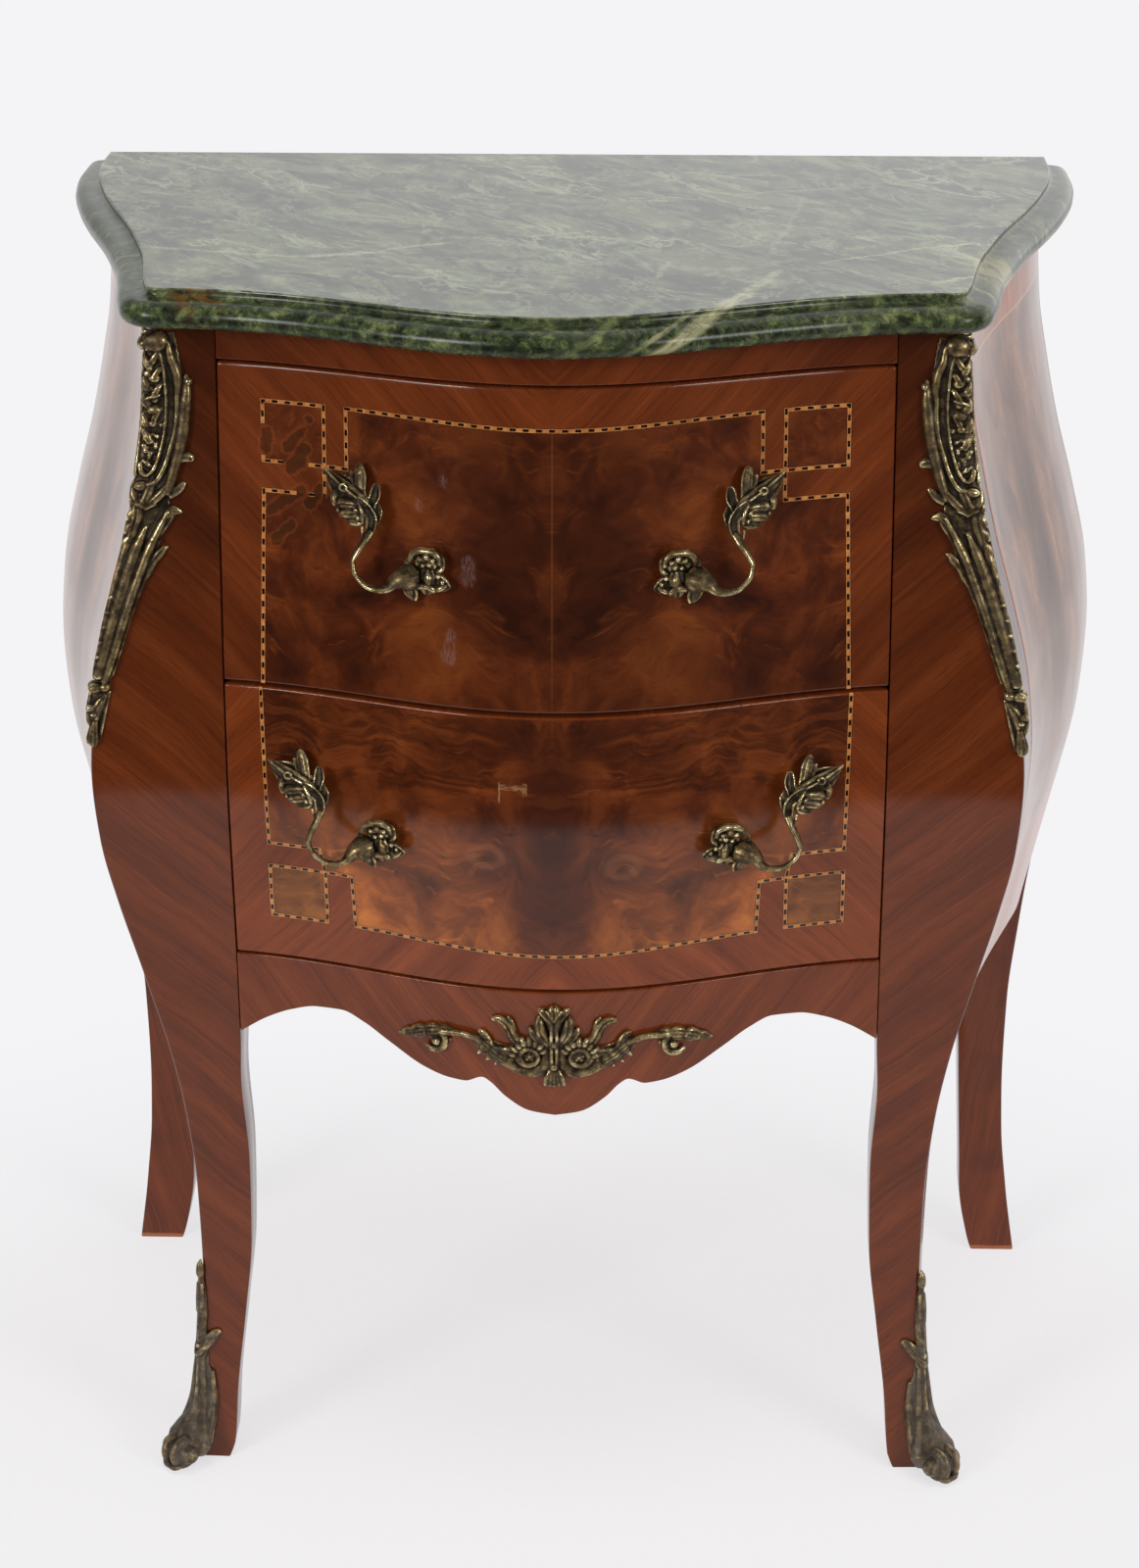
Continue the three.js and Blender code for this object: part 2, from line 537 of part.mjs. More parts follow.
function apron(grow) {
  const height = (x, share) => {
    const low = APRON_LOW + APRON_RISE * apronEdge(Math.abs(x) / RAIL_HALF);
    return low + (APRON_TOP - low) * share;
  };
  const face = (x, share) => vec(x, frontY(x, height(x, share)) - grow, height(x, share));
  const back = (x, share) => face(x, share).add(vec(0, APRON_THICKNESS, 0));
  return panel(spread(-RAIL_HALF, RAIL_HALF, APRON_COLUMNS), spread(0, 1, APRON_ROWS), face, back);
}
add('apron_front', 'veneer', apron(0));

// Boards inside, each cut to the curve of the side panels
const BOARD_CURVE_STEPS = 8;
function sideBoard(inner, front, low, high) {
  const outer = spread(front, sidePanelBack, BOARD_CURVE_STEPS).map((y) => [sideInnerX(y, low, high), y]);
  const notch = [[BACK_RAIL_HALF, sidePanelBack], [BACK_RAIL_HALF, BACK_RAIL_FRONT - GAP]];
  return board([[inner, front], ...outer, ...notch, [inner, BACK_RAIL_FRONT - GAP]], low, high);
}
const runnerInner = DRAWER_SIDE_OUTER - RUNNER_UNDERLAP;
const kickerLow = UPPER_BOX_TOP + KICKER_CLEARANCE;
const behindMiddleRail = MIDDLE_RAIL_BACK + GAP;
const behindPost = POST_BACK + GAP;
const railEnd = BACK_RAIL_FRONT - GAP;
const kickerInner = DRAWER_SIDE_OUTER - KICKER_OVERLAP;
addPair('top_side_rail', 'pine', sideBoard(kickerInner, behindPost, kickerLow, CARCASE_TOP));
addPair('upper_runner', 'oak', sideBoard(runnerInner, behindMiddleRail, MIDDLE_RAIL_LOW, MIDDLE_RAIL_TOP));
add('dust_board', 'pine', box(-runnerInner + GAP, runnerInner - GAP, behindMiddleRail, railEnd,
  MIDDLE_RAIL_MIDDLE - DUST_BOARD_THICKNESS / 2, MIDDLE_RAIL_MIDDLE + DUST_BOARD_THICKNESS / 2));
function bottomBoard() {
  const behindApron = APRON_THICKNESS + GAP;
  const front = spread(0, RAIL_HALF, BOARD_CURVE_STEPS)
    .map((x) => [x, frontY(x, BOTTOM_BOARD_LOW) + behindApron]);
  const side = spread(behindPost, sidePanelBack, BOARD_CURVE_STEPS)
    .map((y) => [sideInnerX(y, BOTTOM_BOARD_LOW, BOTTOM_BOARD_TOP), y]);
  const back = [[BACK_RAIL_HALF, sidePanelBack], [BACK_RAIL_HALF, BACK_PANEL_FRONT - GAP]];
  const right = [...front, [RAIL_HALF, behindPost], ...side, ...back];
  const left = right.slice(1).reverse().map(([x, y]) => [-x, y]);
  return board([...right, ...left], BOTTOM_BOARD_LOW, BOTTOM_BOARD_TOP);
}
add('bottom_board', 'pine', bottomBoard());
const lowerRunnerTop = LOWER_BOX_LOW - RUNNING_GAP;
addPair('lower_runner', 'oak', box(runnerInner, runnerInner + LOWER_RUNNER_WIDTH, behindPost, railEnd,
  BOTTOM_BOARD_TOP + GAP, lowerRunnerTop));
const guideInner = DRAWER_SIDE_OUTER + GUIDE_GAP;
const guide = (front, low) => box(guideInner, guideInner + GUIDE_WIDTH, front, railEnd,
  low + GAP, low + GAP + GUIDE_HEIGHT);
addPair('upper_guide', 'oak', guide(behindMiddleRail, MIDDLE_RAIL_TOP));
addPair('lower_guide', 'oak', guide(behindPost, lowerRunnerTop));

// Glue blocks under the bottom board: two behind the apron and two against the bottom back rail
const blockHigh = BOTTOM_BOARD_LOW - GAP;
const blockLow = blockHigh - GLUE_BLOCK_HEIGHT;
const wedge = (x, y, reach) => board([[x, y], [x, y - reach], [x - reach, y]], blockLow, blockHigh);
addPair('front_glue_block', 'pine', wedge(RAIL_HALF, POST_BACK, GLUE_BLOCK_SIDE / 2));
addPair('back_glue_block', 'pine', wedge(BACK_RAIL_HALF, railEnd, GLUE_BLOCK_SIDE));

// Handles. Shares: across and up of HANDLE_SIZE, lift of HANDLE_LIFT, radius of HANDLE_ROD
const leafPostShare = [-0.52, 0.45];
const rosettePostShare = [0, 0];
const handleGripShares = [
  [-0.41, 0.42, 0.62, 1.5], [-0.43, 0.34, 0.7, 1.3], [-0.45, 0.27, 0.8, 1.15], [-0.51, 0.125, 0.96, 1],
  [-0.46, -0.02, 1, 1], [-0.32, -0.1, 0.92, 1.05], [-0.18, -0.05, 0.72, 1.3], [-0.08, 0, 0.5, 2],
  [0.01, 0, 0.32, 2.3],
];
const handleLeafShares = [
  [[-0.41, 0.42, 0.6, 1.6], [-0.5, 0.45, 0.5, 3.2], [-0.56, 0.5, 0.4, 3.2], [-0.66, 0.58, 0.32, 2],
    [-0.74, 0.67, 0.22, 0.7]],
  [[-0.48, 0.46, 0.45, 2], [-0.48, 0.58, 0.36, 2], [-0.49, 0.72, 0.25, 0.7]],
  [[-0.44, 0.43, 0.45, 1.8], [-0.38, 0.54, 0.36, 1.8], [-0.35, 0.62, 0.25, 0.8]],
  [[-0.42, 0.38, 0.5, 1.6], [-0.36, 0.42, 0.4, 1.5], [-0.31, 0.45, 0.25, 0.7]],
  [[-0.48, 0.42, 0.45, 1.8], [-0.57, 0.41, 0.36, 2.6], [-0.65, 0.43, 0.2, 1.6]],
];
const handleRosetteShares = [
  [[0, 0, 0.35, 2.2], [-0.03, 0.08, 0.3, 2], [-0.06, 0.15, 0.22, 1.2]],
  [[0.01, 0, 0.35, 2], [0.06, 0.07, 0.3, 1.9], [0.09, 0.13, 0.2, 1]],
  [[0.01, 0, 0.35, 2], [0.09, -0.03, 0.3, 1.9], [0.16, -0.08, 0.2, 1.1]],
  [[0, 0, 0.35, 2], [0.03, -0.09, 0.28, 1.7], [0.07, -0.14, 0.18, 0.8]],
  [[0, 0, 0.35, 2.2], [-0.06, -0.08, 0.28, 2], [-0.09, -0.16, 0.18, 1]],
];
const POST_RADIUS_SHARE = 1.6;
const POST_LIFT_SHARE = 0.4;
const LEAF_FLATNESS = 0.5;
const ROSETTE_FLATNESS = 0.75;
const DRAWER_ROWS = 6;
const LOWER_HANDLE_TURN = THREE.MathUtils.degToRad(LOWER_HANDLE_TURN_DEGREES);
const drawerSpans = { upper: [UPPER_FRONT_TOP, UPPER_FRONT_LOW], lower: [LOWER_FRONT_TOP, LOWER_FRONT_LOW] };
const handlePlaces = {
  upper: { x: DRAWER_HALF - UPPER_HANDLE_INSET, z: UPPER_FRONT_LOW + UPPER_HANDLE_RISE, turn: 0 },
  lower: { x: DRAWER_HALF - LOWER_HANDLE_INSET, z: LOWER_FRONT_LOW + LOWER_HANDLE_RISE, turn: LOWER_HANDLE_TURN },
};
// The right handle: across runs from the middle of the drawer outwards as it falls below zero
function onDrawer(level, acrossShare, upShare) {
  const { x, z, turn } = handlePlaces[level];
  const across = HANDLE_SIZE * (acrossShare * Math.cos(turn) - upShare * Math.sin(turn));
  const up = HANDLE_SIZE * (upShare * Math.cos(turn) + acrossShare * Math.sin(turn));
  return [x - across, z + up];
}
function postPlaces(level) {
  return [leafPostShare, rosettePostShare].map(([across, up]) => onDrawer(level, across, up));
}
function rod(radius, x, z, from, to) {
  return turnedAlongY([[0, from], [radius, from], [radius, to], [0, to]], x, z);
}
const screwHole = (x, z, from, to) => solid(rod(SCREW_HOLE_RADIUS, x, z, from, to));

function drawerFront(level, grow) {
  const [top, low] = drawerSpans[level];
  return panel(spread(-DRAWER_HALF, DRAWER_HALF, FRONT_COLUMNS), spread(low, top, DRAWER_ROWS),
    (x, z) => vec(x, frontY(x, z) - grow, z),
    (x, z) => vec(x, drawerInnerY(x, top, low), z));
}
function handle(level) {
  const place = (across, up, lift) => {
    const [x, z] = onDrawer(level, across, up);
    return vec(x, frontY(x, z) - lift * HANDLE_LIFT, z);
  };
  const cast = (flatness) => (rows) => stroke(thickened(rows, HANDLE_ROD), place, flatness);
  const strokes = [cast(1)(handleGripShares), ...handleLeafShares.map(cast(LEAF_FLATNESS)),
    ...handleRosetteShares.map(cast(ROSETTE_FLATNESS))];
  const posts = postPlaces(level).map(([x, z]) => {
    const surface = frontY(x, z);
    const radius = HANDLE_ROD * POST_RADIUS_SHARE;
    return rod(radius, x, z, surface + DRAWER_FRONT_MIN / 2, surface - HANDLE_LIFT * POST_LIFT_SHARE);
  });
  let whole = joinAll([...strokes, ...posts]).subtract(solid(drawerFront(level, GAP)));
  for (const [x, z] of postPlaces(level)) {
    whole = whole.subtract(screwHole(x, z, frontY(x, z) + OVERRUN, frontY(x, z) - SCREW_HOLE_DEPTH));
  }
  return fromSolid(whole);
}

// Screws, with their heads inside the drawer
function screw(level, x, z) {
  const [top, low] = drawerSpans[level];
  const seat = Math.max(...[-1, 0, 1].map((k) => drawerInnerY(x + k * SCREW_HEAD_RADIUS, top, low))) + GAP;
  const tip = frontY(x, z) - SCREW_BITE;
  const end = seat + SCREW_HEAD_HEIGHT;
  return turnedAlongY([[0, end], [SCREW_HEAD_RADIUS, end], [SCREW_HEAD_RADIUS, seat], [SCREW_RADIUS, seat],
    [SCREW_RADIUS, tip], [0, tip]], x, z);
}

// Drawers: a thick shaped front and a plain box behind it
function addDrawer(level, boxLow, boxTop) {
  const [top, low] = drawerSpans[level];
  let front = solid(drawerFront(level, 0));
  for (const [x, z] of postPlaces(level)) {
    const [from, to] = [frontY(x, z) - OVERRUN, drawerInnerY(x, top, low) + OVERRUN];
    for (const side of [x, -x]) front = front.subtract(screwHole(side, z, from, to));
  }
  add(`${level}_drawer_front`, 'veneer', fromSolid(front));
  const sideEnds = [DRAWER_SIDE_INNER, DRAWER_SIDE_OUTER].map((x) => drawerInnerY(x, top, low));
  const behindFront = Math.max(...sideEnds) + GAP;
  addPair(`${level}_drawer_side`, 'oak',
    box(DRAWER_SIDE_INNER, DRAWER_SIDE_OUTER, behindFront, DRAWER_BACK_PLANE, boxLow, boxTop));
  const inner = DRAWER_SIDE_INNER - GAP;
  const bottomLow = boxLow + DRAWER_BOTTOM_LIFT;
  const bottomTop = bottomLow + DRAWER_BOTTOM_THICKNESS;
  const curve = spread(-inner, inner, FRONT_COLUMNS).map((x) => [x, drawerInnerY(x, top, low) + GAP]);
  const bottomOutline = [...curve, [inner, DRAWER_BACK_PLANE], [-inner, DRAWER_BACK_PLANE]];
  add(`${level}_drawer_bottom`, 'pine', board(bottomOutline, bottomLow, bottomTop));
  const backFront = DRAWER_BACK_PLANE - DRAWER_SIDE_THICKNESS;
  add(`${level}_drawer_back`, 'oak',
    box(-inner, inner, backFront, DRAWER_BACK_PLANE, bottomTop + GAP, boxTop));
  addPair(`${level}_handle`, 'bronze', handle(level));
  postPlaces(level).forEach(([x, z], i) => {
    addPair(`${level}_${['leaf', 'rosette'][i]}_screw`, 'steel', screw(level, x, z));
  });
}
addDrawer('upper', UPPER_BOX_LOW, UPPER_BOX_TOP);
addDrawer('lower', LOWER_BOX_LOW, LOWER_BOX_TOP);

// A place on the corner of a post: across is positive along the front and negative along the side
function onCorner(across, z, lift) {
  const blend = THREE.MathUtils.smoothstep(across, -ARRIS_WRAP, ARRIS_WRAP);
  const direction = vec(1 - blend, -blend, 0).normalize();
  const x = arrisX(z) - Math.max(across, 0);
  const y = arrisY(z) + Math.max(-across, 0);
  const base = across >= 0 ? vec(x, frontY(x, z), z) : vec(sideX(y, z), y, z);
  return base.addScaledVector(direction, lift);
}

// Corner mounts. Shares: across of the width, down of the length, lift of the relief, radius of the relief
const cornerMountShares = {
  curl: [[0.05, 0.11, 0.3, 0.8], [-0.12, 0.07, 0.5, 0.95], [-0.16, 0.035, 0.6, 1], [0.02, 0.012, 0.6, 0.8]],
  garland: [[0.05, 0.02, 0.2, 0.8], [0.15, 0.07, 0.4, 1.4], [0.2, 0.15, 0.4, 1.8], [0.2, 0.23, 0.4, 1.8],
    [0.15, 0.31, 0.4, 1.6], [0, 0.36, 0.4, 0.9]],
  frame: [[0.1, 0.02, 0.8, 0.6], [0.5, 0.05, 0.7, 0.7], [0.62, 0.11, 0.6, 0.7], [0.76, 0.17, 0.6, 0.75],
    [0.8, 0.23, 0.6, 0.8], [0.75, 0.29, 0.7, 0.85], [0.55, 0.34, 0.8, 0.85], [0.2, 0.375, 0.8, 0.7],
    [-0.2, 0.365, 0.8, 0.6]],
  acanthus: [[0.75, 0.27, 0.4, 0.6], [0.95, 0.34, 0.5, 0.9], [1, 0.41, 0.5, 1], [0.8, 0.47, 0.5, 0.8]],
  leaf: [[-0.1, 0.38, 0.5, 0.8], [0.05, 0.43, 0.6, 1.4], [0.15, 0.49, 0.5, 1.2]],
  innerRib: [[0.7, 0.39, 0.5, 1], [0.6, 0.46, 0.8, 1], [0.35, 0.56, 0.8, 0.85], [0.18, 0.68, 0.8, 0.7],
    [0.08, 0.78, 0.7, 0.58], [0, 0.83, 0.7, 0.5]],
  outerRib: [[0, 0.44, 0.6, 0.8], [-0.05, 0.56, 0.7, 0.75], [-0.08, 0.68, 0.7, 0.64],
    [-0.08, 0.83, 0.7, 0.52]],
  collar: [[-0.05, 0.825, 0.6, 0.95], [-0.05, 0.85, 0.6, 0.95]],
  husk: [[-0.05, 0.855, 0.6, 0.8], [-0.08, 0.9, 0.6, 0.95], [-0.1, 0.955, 0.6, 0.85], [-0.1, 0.99, 0.5, 0.5]],
};
const GARLAND_FLATNESS = 0.55;
const RIB_FLATNESS = 0.9;
const CAST_FLATNESS = 0.8;
function cornerMount() {
  const top = CARCASE_TOP - CORNER_MOUNT_DROP;
  const place = (across, down, lift) => {
    const z = top - down * CORNER_MOUNT_LENGTH;
    return onCorner(across * CORNER_MOUNT_WIDTH, z, lift * CORNER_MOUNT_RELIEF);
  };
  const strokes = Object.entries(cornerMountShares).map(([name, rows]) => {
    const flatness = name === 'garland' ? GARLAND_FLATNESS : RIB_FLATNESS;
    return stroke(thickened(rows, CORNER_MOUNT_RELIEF), place, flatness);
  });
  return fromSolid(joinAll(strokes).subtract(solid(frontLeg(GAP))));
}
addPair('corner_mount', 'bronze', cornerMount());

// Sabots. Shares: across of the width, up of the height, lift of the toe's reach, radius of the width
const sabotShares = {
  shaft: [[-0.08, 0.985, 0.05, 0.26], [-0.08, 0.86, 0.1, 0.38], [-0.02, 0.7, 0.15, 0.5],
    [-0.02, 0.55, 0.18, 0.6], [-0.02, 0.4, 0.22, 0.62], [0, 0.27, 0.32, 0.62], [0, 0.18, 0.52, 0.68],
    [0, 0.11, 0.76, 0.72]],
  leaf: [[0.15, 0.5, 0.12, 0.3], [0.45, 0.6, 0.1, 0.3], [0.8, 0.66, 0.06, 0.15]],
  lowerLeaf: [[0.2, 0.46, 0.1, 0.25], [0.4, 0.32, 0.1, 0.36], [0.3, 0.14, 0.2, 0.3]],
  sideLeaf: [[-0.2, 0.5, 0.1, 0.3], [-0.5, 0.4, 0.1, 0.36], [-0.4, 0.16, 0.2, 0.3]],
};
const toeShares = [[-1, 0.82], [0, 1], [1, 0.82]];
function sabot() {
  const place = (across, up, lift) => onCorner(across * SABOT_WIDTH, up * SABOT_HEIGHT, lift * SABOT_TOE);
  const cast = (rows) => stroke(thickened(rows, SABOT_WIDTH), place, CAST_FLATNESS);
  const strokes = Object.values(sabotShares).map(cast);
  const toe = onCorner(0, SABOT_TOE_RADIUS, SABOT_TOE);
  const along = vec(1, 1, 0).normalize();
  const toeRows = toeShares.map(([across, share]) => {
    return [across * SABOT_TOE_SPREAD, 0, 0, share * SABOT_TOE_RADIUS];
  });
  const onToe = (across, up, lift) => toe.clone().addScaledVector(along, across).add(vec(0, -lift, up));
  const bronze = joinAll([...strokes, stroke(toeRows, onToe, 1)]).subtract(solid(frontLeg(GAP)));
  const floor = solid(box(0, 2 * CORNER_TOP_HALF, -2 * OVERRUN, CARCASE_BACK, -OVERRUN, SABOT_FLOOR));
  return fromSolid(bronze.subtract(floor));
}
addPair('sabot', 'bronze', sabot());

// Apron mount. Shares: across of the half width, up of the height, lift and radius of the relief
const apronMountShares = {
  palmette: [[0, 0.06, 0.5, 0.9], [0, 0.3, 0.6, 0.9], [0, 0.6, 0.7, 1], [0, 0.8, 0.6, 1.1],
    [0, 0.96, 0.3, 0.9]],
  drop: [[0, 0.18, 0.5, 0.6], [0, 0.08, 0.5, 1.1], [0, 0.02, 0.3, 0.8]],
};
const apronMountSideShares = {
  volute: [[0.03, 0.22, 0.6, 0.6], [0.13, 0.14, 0.7, 0.8], [0.27, 0.26, 0.7, 0.8], [0.3, 0.48, 0.6, 0.7],
    [0.2, 0.62, 0.6, 0.7], [0.1, 0.5, 0.6, 0.7], [0.14, 0.36, 0.6, 0.8], [0.2, 0.4, 0.6, 1]],
  petal: [[0.03, 0.6, 0.5, 0.9], [0.09, 0.72, 0.5, 1], [0.14, 0.82, 0.3, 0.6]],
  crest: [[0.2, 0.55, 0.5, 0.7], [0.26, 0.7, 0.5, 0.8], [0.31, 0.8, 0.4, 0.6], [0.38, 0.84, 0.3, 0.4]],
  arm: [[0.2, 0.14, 0.5, 0.7], [0.4, 0.3, 0.6, 0.9], [0.55, 0.46, 0.6, 0.9], [0.68, 0.54, 0.5, 0.7],
    [0.85, 0.52, 0.5, 0.7], [0.99, 0.45, 0.3, 0.5]],
  bud: [[0.66, 0.5, 0.5, 0.6], [0.72, 0.38, 0.5, 0.8], [0.77, 0.36, 0.4, 0.5]],
};
function apronMount() {
  const foot = APRON_TOP - APRON_MOUNT_DROP;
  const place = (across, up, lift) => {
    const [x, z] = [across * APRON_MOUNT_HALF, foot + up * APRON_MOUNT_HEIGHT];
    return vec(x, frontY(x, z) - lift * APRON_MOUNT_RELIEF, z);
  };
  const cast = (rows) => stroke(thickened(rows, APRON_MOUNT_RELIEF), place, CAST_FLATNESS);
  const middle = Object.values(apronMountShares).map(cast);
  const right = Object.values(apronMountSideShares).map(cast);
  return fromSolid(joinAll([...middle, ...right, ...right.map(mirrored)]).subtract(solid(apron(GAP))));
}
add('apron_mount', 'bronze', apronMount());

// The origin is the centre of the whole piece's base
const bounds = new THREE.Box3().setFromObject(commode, true);
const middle = bounds.getCenter(vec(0, 0, 0));
commode.position.set(-middle.x, -middle.y, -bounds.min.z);
commode.updateMatrixWorld(true);

export default commode;
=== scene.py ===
# %% [markdown]
# # A two-drawer bombe commode with a marble top
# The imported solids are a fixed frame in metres: front towards -Y, floor at Z = 0. This lesson
# dresses them in veneer, stone and bronze. Shapes are worked out in millimetres, because a cabinet
# maker would, and turned into metres only when a mesh is made.

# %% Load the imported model
import math
import bpy
import bmesh
import numpy as np
from mathutils import Matrix, Vector


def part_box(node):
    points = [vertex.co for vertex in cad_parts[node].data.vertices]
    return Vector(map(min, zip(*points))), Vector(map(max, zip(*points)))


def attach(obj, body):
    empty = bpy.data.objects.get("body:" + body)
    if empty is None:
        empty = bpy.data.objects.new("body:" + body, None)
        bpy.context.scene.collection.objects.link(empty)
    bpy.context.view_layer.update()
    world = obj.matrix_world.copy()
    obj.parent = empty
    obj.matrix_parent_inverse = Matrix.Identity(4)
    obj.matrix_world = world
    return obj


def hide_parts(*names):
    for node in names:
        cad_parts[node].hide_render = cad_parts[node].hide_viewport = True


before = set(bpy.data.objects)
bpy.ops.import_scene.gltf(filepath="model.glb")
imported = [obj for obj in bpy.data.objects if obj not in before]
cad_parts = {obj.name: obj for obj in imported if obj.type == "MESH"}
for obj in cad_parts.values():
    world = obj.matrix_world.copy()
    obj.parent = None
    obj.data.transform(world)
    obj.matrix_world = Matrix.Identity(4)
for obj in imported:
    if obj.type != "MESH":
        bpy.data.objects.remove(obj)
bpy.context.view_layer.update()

# %% [markdown]
# ## The camera
# The photograph was taken a little to the right of the middle and from above the top. Its place,
# three angles and the lens were found from the corners of the slab and of the drawers, so the camera
# is set by its own three axes rather than by aiming it at a point, which would lose the slight roll.

# %% Camera
YAW, PITCH, ROLL = (math.radians(a) for a in (2.006, 21.533, -0.111))
LENS = 36 * 3867 / 1600
ahead = Vector((-math.sin(YAW) * math.cos(PITCH), math.cos(YAW) * math.cos(PITCH), -math.sin(PITCH)))
level = Vector((math.cos(YAW), math.sin(YAW), 0))
upright = level.cross(ahead)
right = level * math.cos(ROLL) + upright * math.sin(ROLL)
up = upright * math.cos(ROLL) - level * math.sin(ROLL)
camera = bpy.data.objects.new("camera", bpy.data.cameras.new("camera"))
camera.data.lens = LENS
camera.data.sensor_width = 36
axes = Matrix((right, up, -ahead)).transposed()
camera.matrix_world = Matrix.Translation((0.0806, -2.21655, 1.3021)) @ axes.to_4x4()
bpy.context.collection.objects.link(camera)
bpy.context.scene.camera = camera
bpy.context.scene.view_settings.view_transform = "Standard"
print("lens", round(LENS, 2), "mm")

# %% [markdown]
# ## Finishes as node trees
# A finish could be painted as a picture, but a node tree stays sharp at any distance and moves with a
# drawer. This small class gives short words for the nodes that wood, stone and bronze share. Every pattern
# reads the object's own coordinates in millimetres, so a grain line is as wide as it is on the real piece.

# %% A finish and its nodes
def tone(code):
    """Turn a colour as seen on a screen into the linear values that a shader wants."""
    parts = [int(code[i:i + 2], 16) / 255 for i in (0, 2, 4)]
    return [c / 12.92 if c <= 0.04045 else ((c + 0.055) / 1.055) ** 2.4 for c in parts] + [1.0]


class Finish:
    """One material, with short words for its nodes."""

    def __init__(self, name, **sockets):
        self.material = bpy.data.materials.new(name)
        self.material.use_nodes = True
        self.tree = self.material.node_tree
        self.shader = self.tree.nodes["Principled BSDF"]
        self.set(**sockets)

    def plug(self, socket, value):
        if isinstance(value, bpy.types.NodeSocket):
            self.tree.links.new(value, socket)
        else:
            socket.default_value = value

    def set(self, **sockets):
        for word, value in sockets.items():
            self.plug(self.shader.inputs[word.replace("_", " ")], value)
        return self.material

    def add(self, kind, *inputs, out=0, **settings):
        node = self.tree.nodes.new("ShaderNode" + kind)
        for word, value in settings.items():
            setattr(node, word, value)
        for socket, value in zip(node.inputs, inputs):
            if value is not None:
                self.plug(socket, value)
        return node.outputs[out]

    def math(self, how, a, b=None, c=None):
        return self.add("Math", a, b, c, operation=how)

    def scaled(self, value, by, plus):
        """A value times one number, plus another."""
        return self.math("MULTIPLY_ADD", value, by, plus)

    def total(self, *terms):
        """Add up (value, weight) pairs."""
        sum_so_far = 0.0
        for value, weight in terms:
            sum_so_far = self.scaled(value, weight, sum_so_far)
        return sum_so_far

    def product(self, *factors):
        """Multiply values with each other."""
        result = factors[0]
        for factor in factors[1:]:
            result = self.math("MULTIPLY", result, factor)
        return result

    def apart(self, a, b):
        """How far one value lies from another."""
        return self.math("ABSOLUTE", self.math("SUBTRACT", a, b))

    def rise(self, value, low, high):
        """0 below low, 1 above high, smooth between."""
        return self.add("MapRange", value, low, high, 0.0, 1.0, interpolation_type="SMOOTHSTEP")

    def millimetres(self):
        place = self.add("TexCoord", out=3)
        return self.add("VectorMath", place, None, None, 1000.0, operation="SCALE")

    def split(self, vector):
        node = self.add("SeparateXYZ", vector).node
        return node.outputs[0], node.outputs[1], node.outputs[2]

    def join(self, x, y, z):
        return self.add("CombineXYZ", x, y, z)

    def noise(self, at, size, detail=3.0, rough=0.5, warp=0.0):
        """Cloudy noise whose lumps are about size millimetres wide."""
        return self.add("TexNoise", at, None, 1 / size, detail, rough, None, None, None, warp)

    def moved(self, at, by):
        return self.add("VectorMath", at, by, operation="ADD")

    def stretched(self, at, factors):
        return self.add("VectorMath", at, factors, operation="MULTIPLY")

    def away(self, at, middle):
        """How far a place lies from another."""
        return self.add("VectorMath", at, middle, operation="DISTANCE", out=1)

    def stirred(self, at, size, reach):
        """Push a place about by soft noise, which turns straight figure into flowing figure."""
        node = self.add("TexNoise", at, None, 1 / size, 2.0, 0.5).node
        centred = self.add("VectorMath", node.outputs[1], (0.5, 0.5, 0.5), operation="SUBTRACT")
        return self.moved(at, self.add("VectorMath", centred, None, None, reach, operation="SCALE"))

    def mix(self, share, a, b, how="MIX"):
        node = self.add("Mix", data_type="RGBA", blend_type=how).node
        for socket, value in ((node.inputs[0], share), (node.inputs[6], a), (node.inputs[7], b)):
            self.plug(socket, value)
        return node.outputs[2]

    def tint(self, under, code, *shares):
        """Lay a colour over another, as strongly as the product of the shares."""
        return self.mix(self.product(*shares), under, tone(code))

    def ramp(self, value, *stops):
        """Colours along a value: stops are (place, colour code)."""
        node = self.add("ValToRGB", value).node
        band = node.color_ramp.elements
        while len(band) < len(stops):
            band.new(0.5)
        for element, (place, code) in zip(band, stops):
            element.position = place
            element.color = tone(code)
        return node.outputs[0]

    def bump(self, height, depth, strength=1.0):
        """Raise the surface by depth millimetres where height is 1."""
        return self.add("Bump", strength, depth / 1000, 0.01, height)


print("a walnut brown in linear values:", [round(v, 3) for v in tone("7a3a1e")])

# %% [markdown]
# ## Floor, room and lamps
# The piece stands on a wide roll of white paper in a soft-lit studio. The varnish is a mirror in disguise:
# its lower curve shows the white paper in front of the feet and looks milky, its upper curve shows the dim
# room beyond the paper's end and looks deep and red. So the floor is a real sheet with a real round front
# end, and the world is bright behind the piece and dim in front of it wherever gloss looks at it.

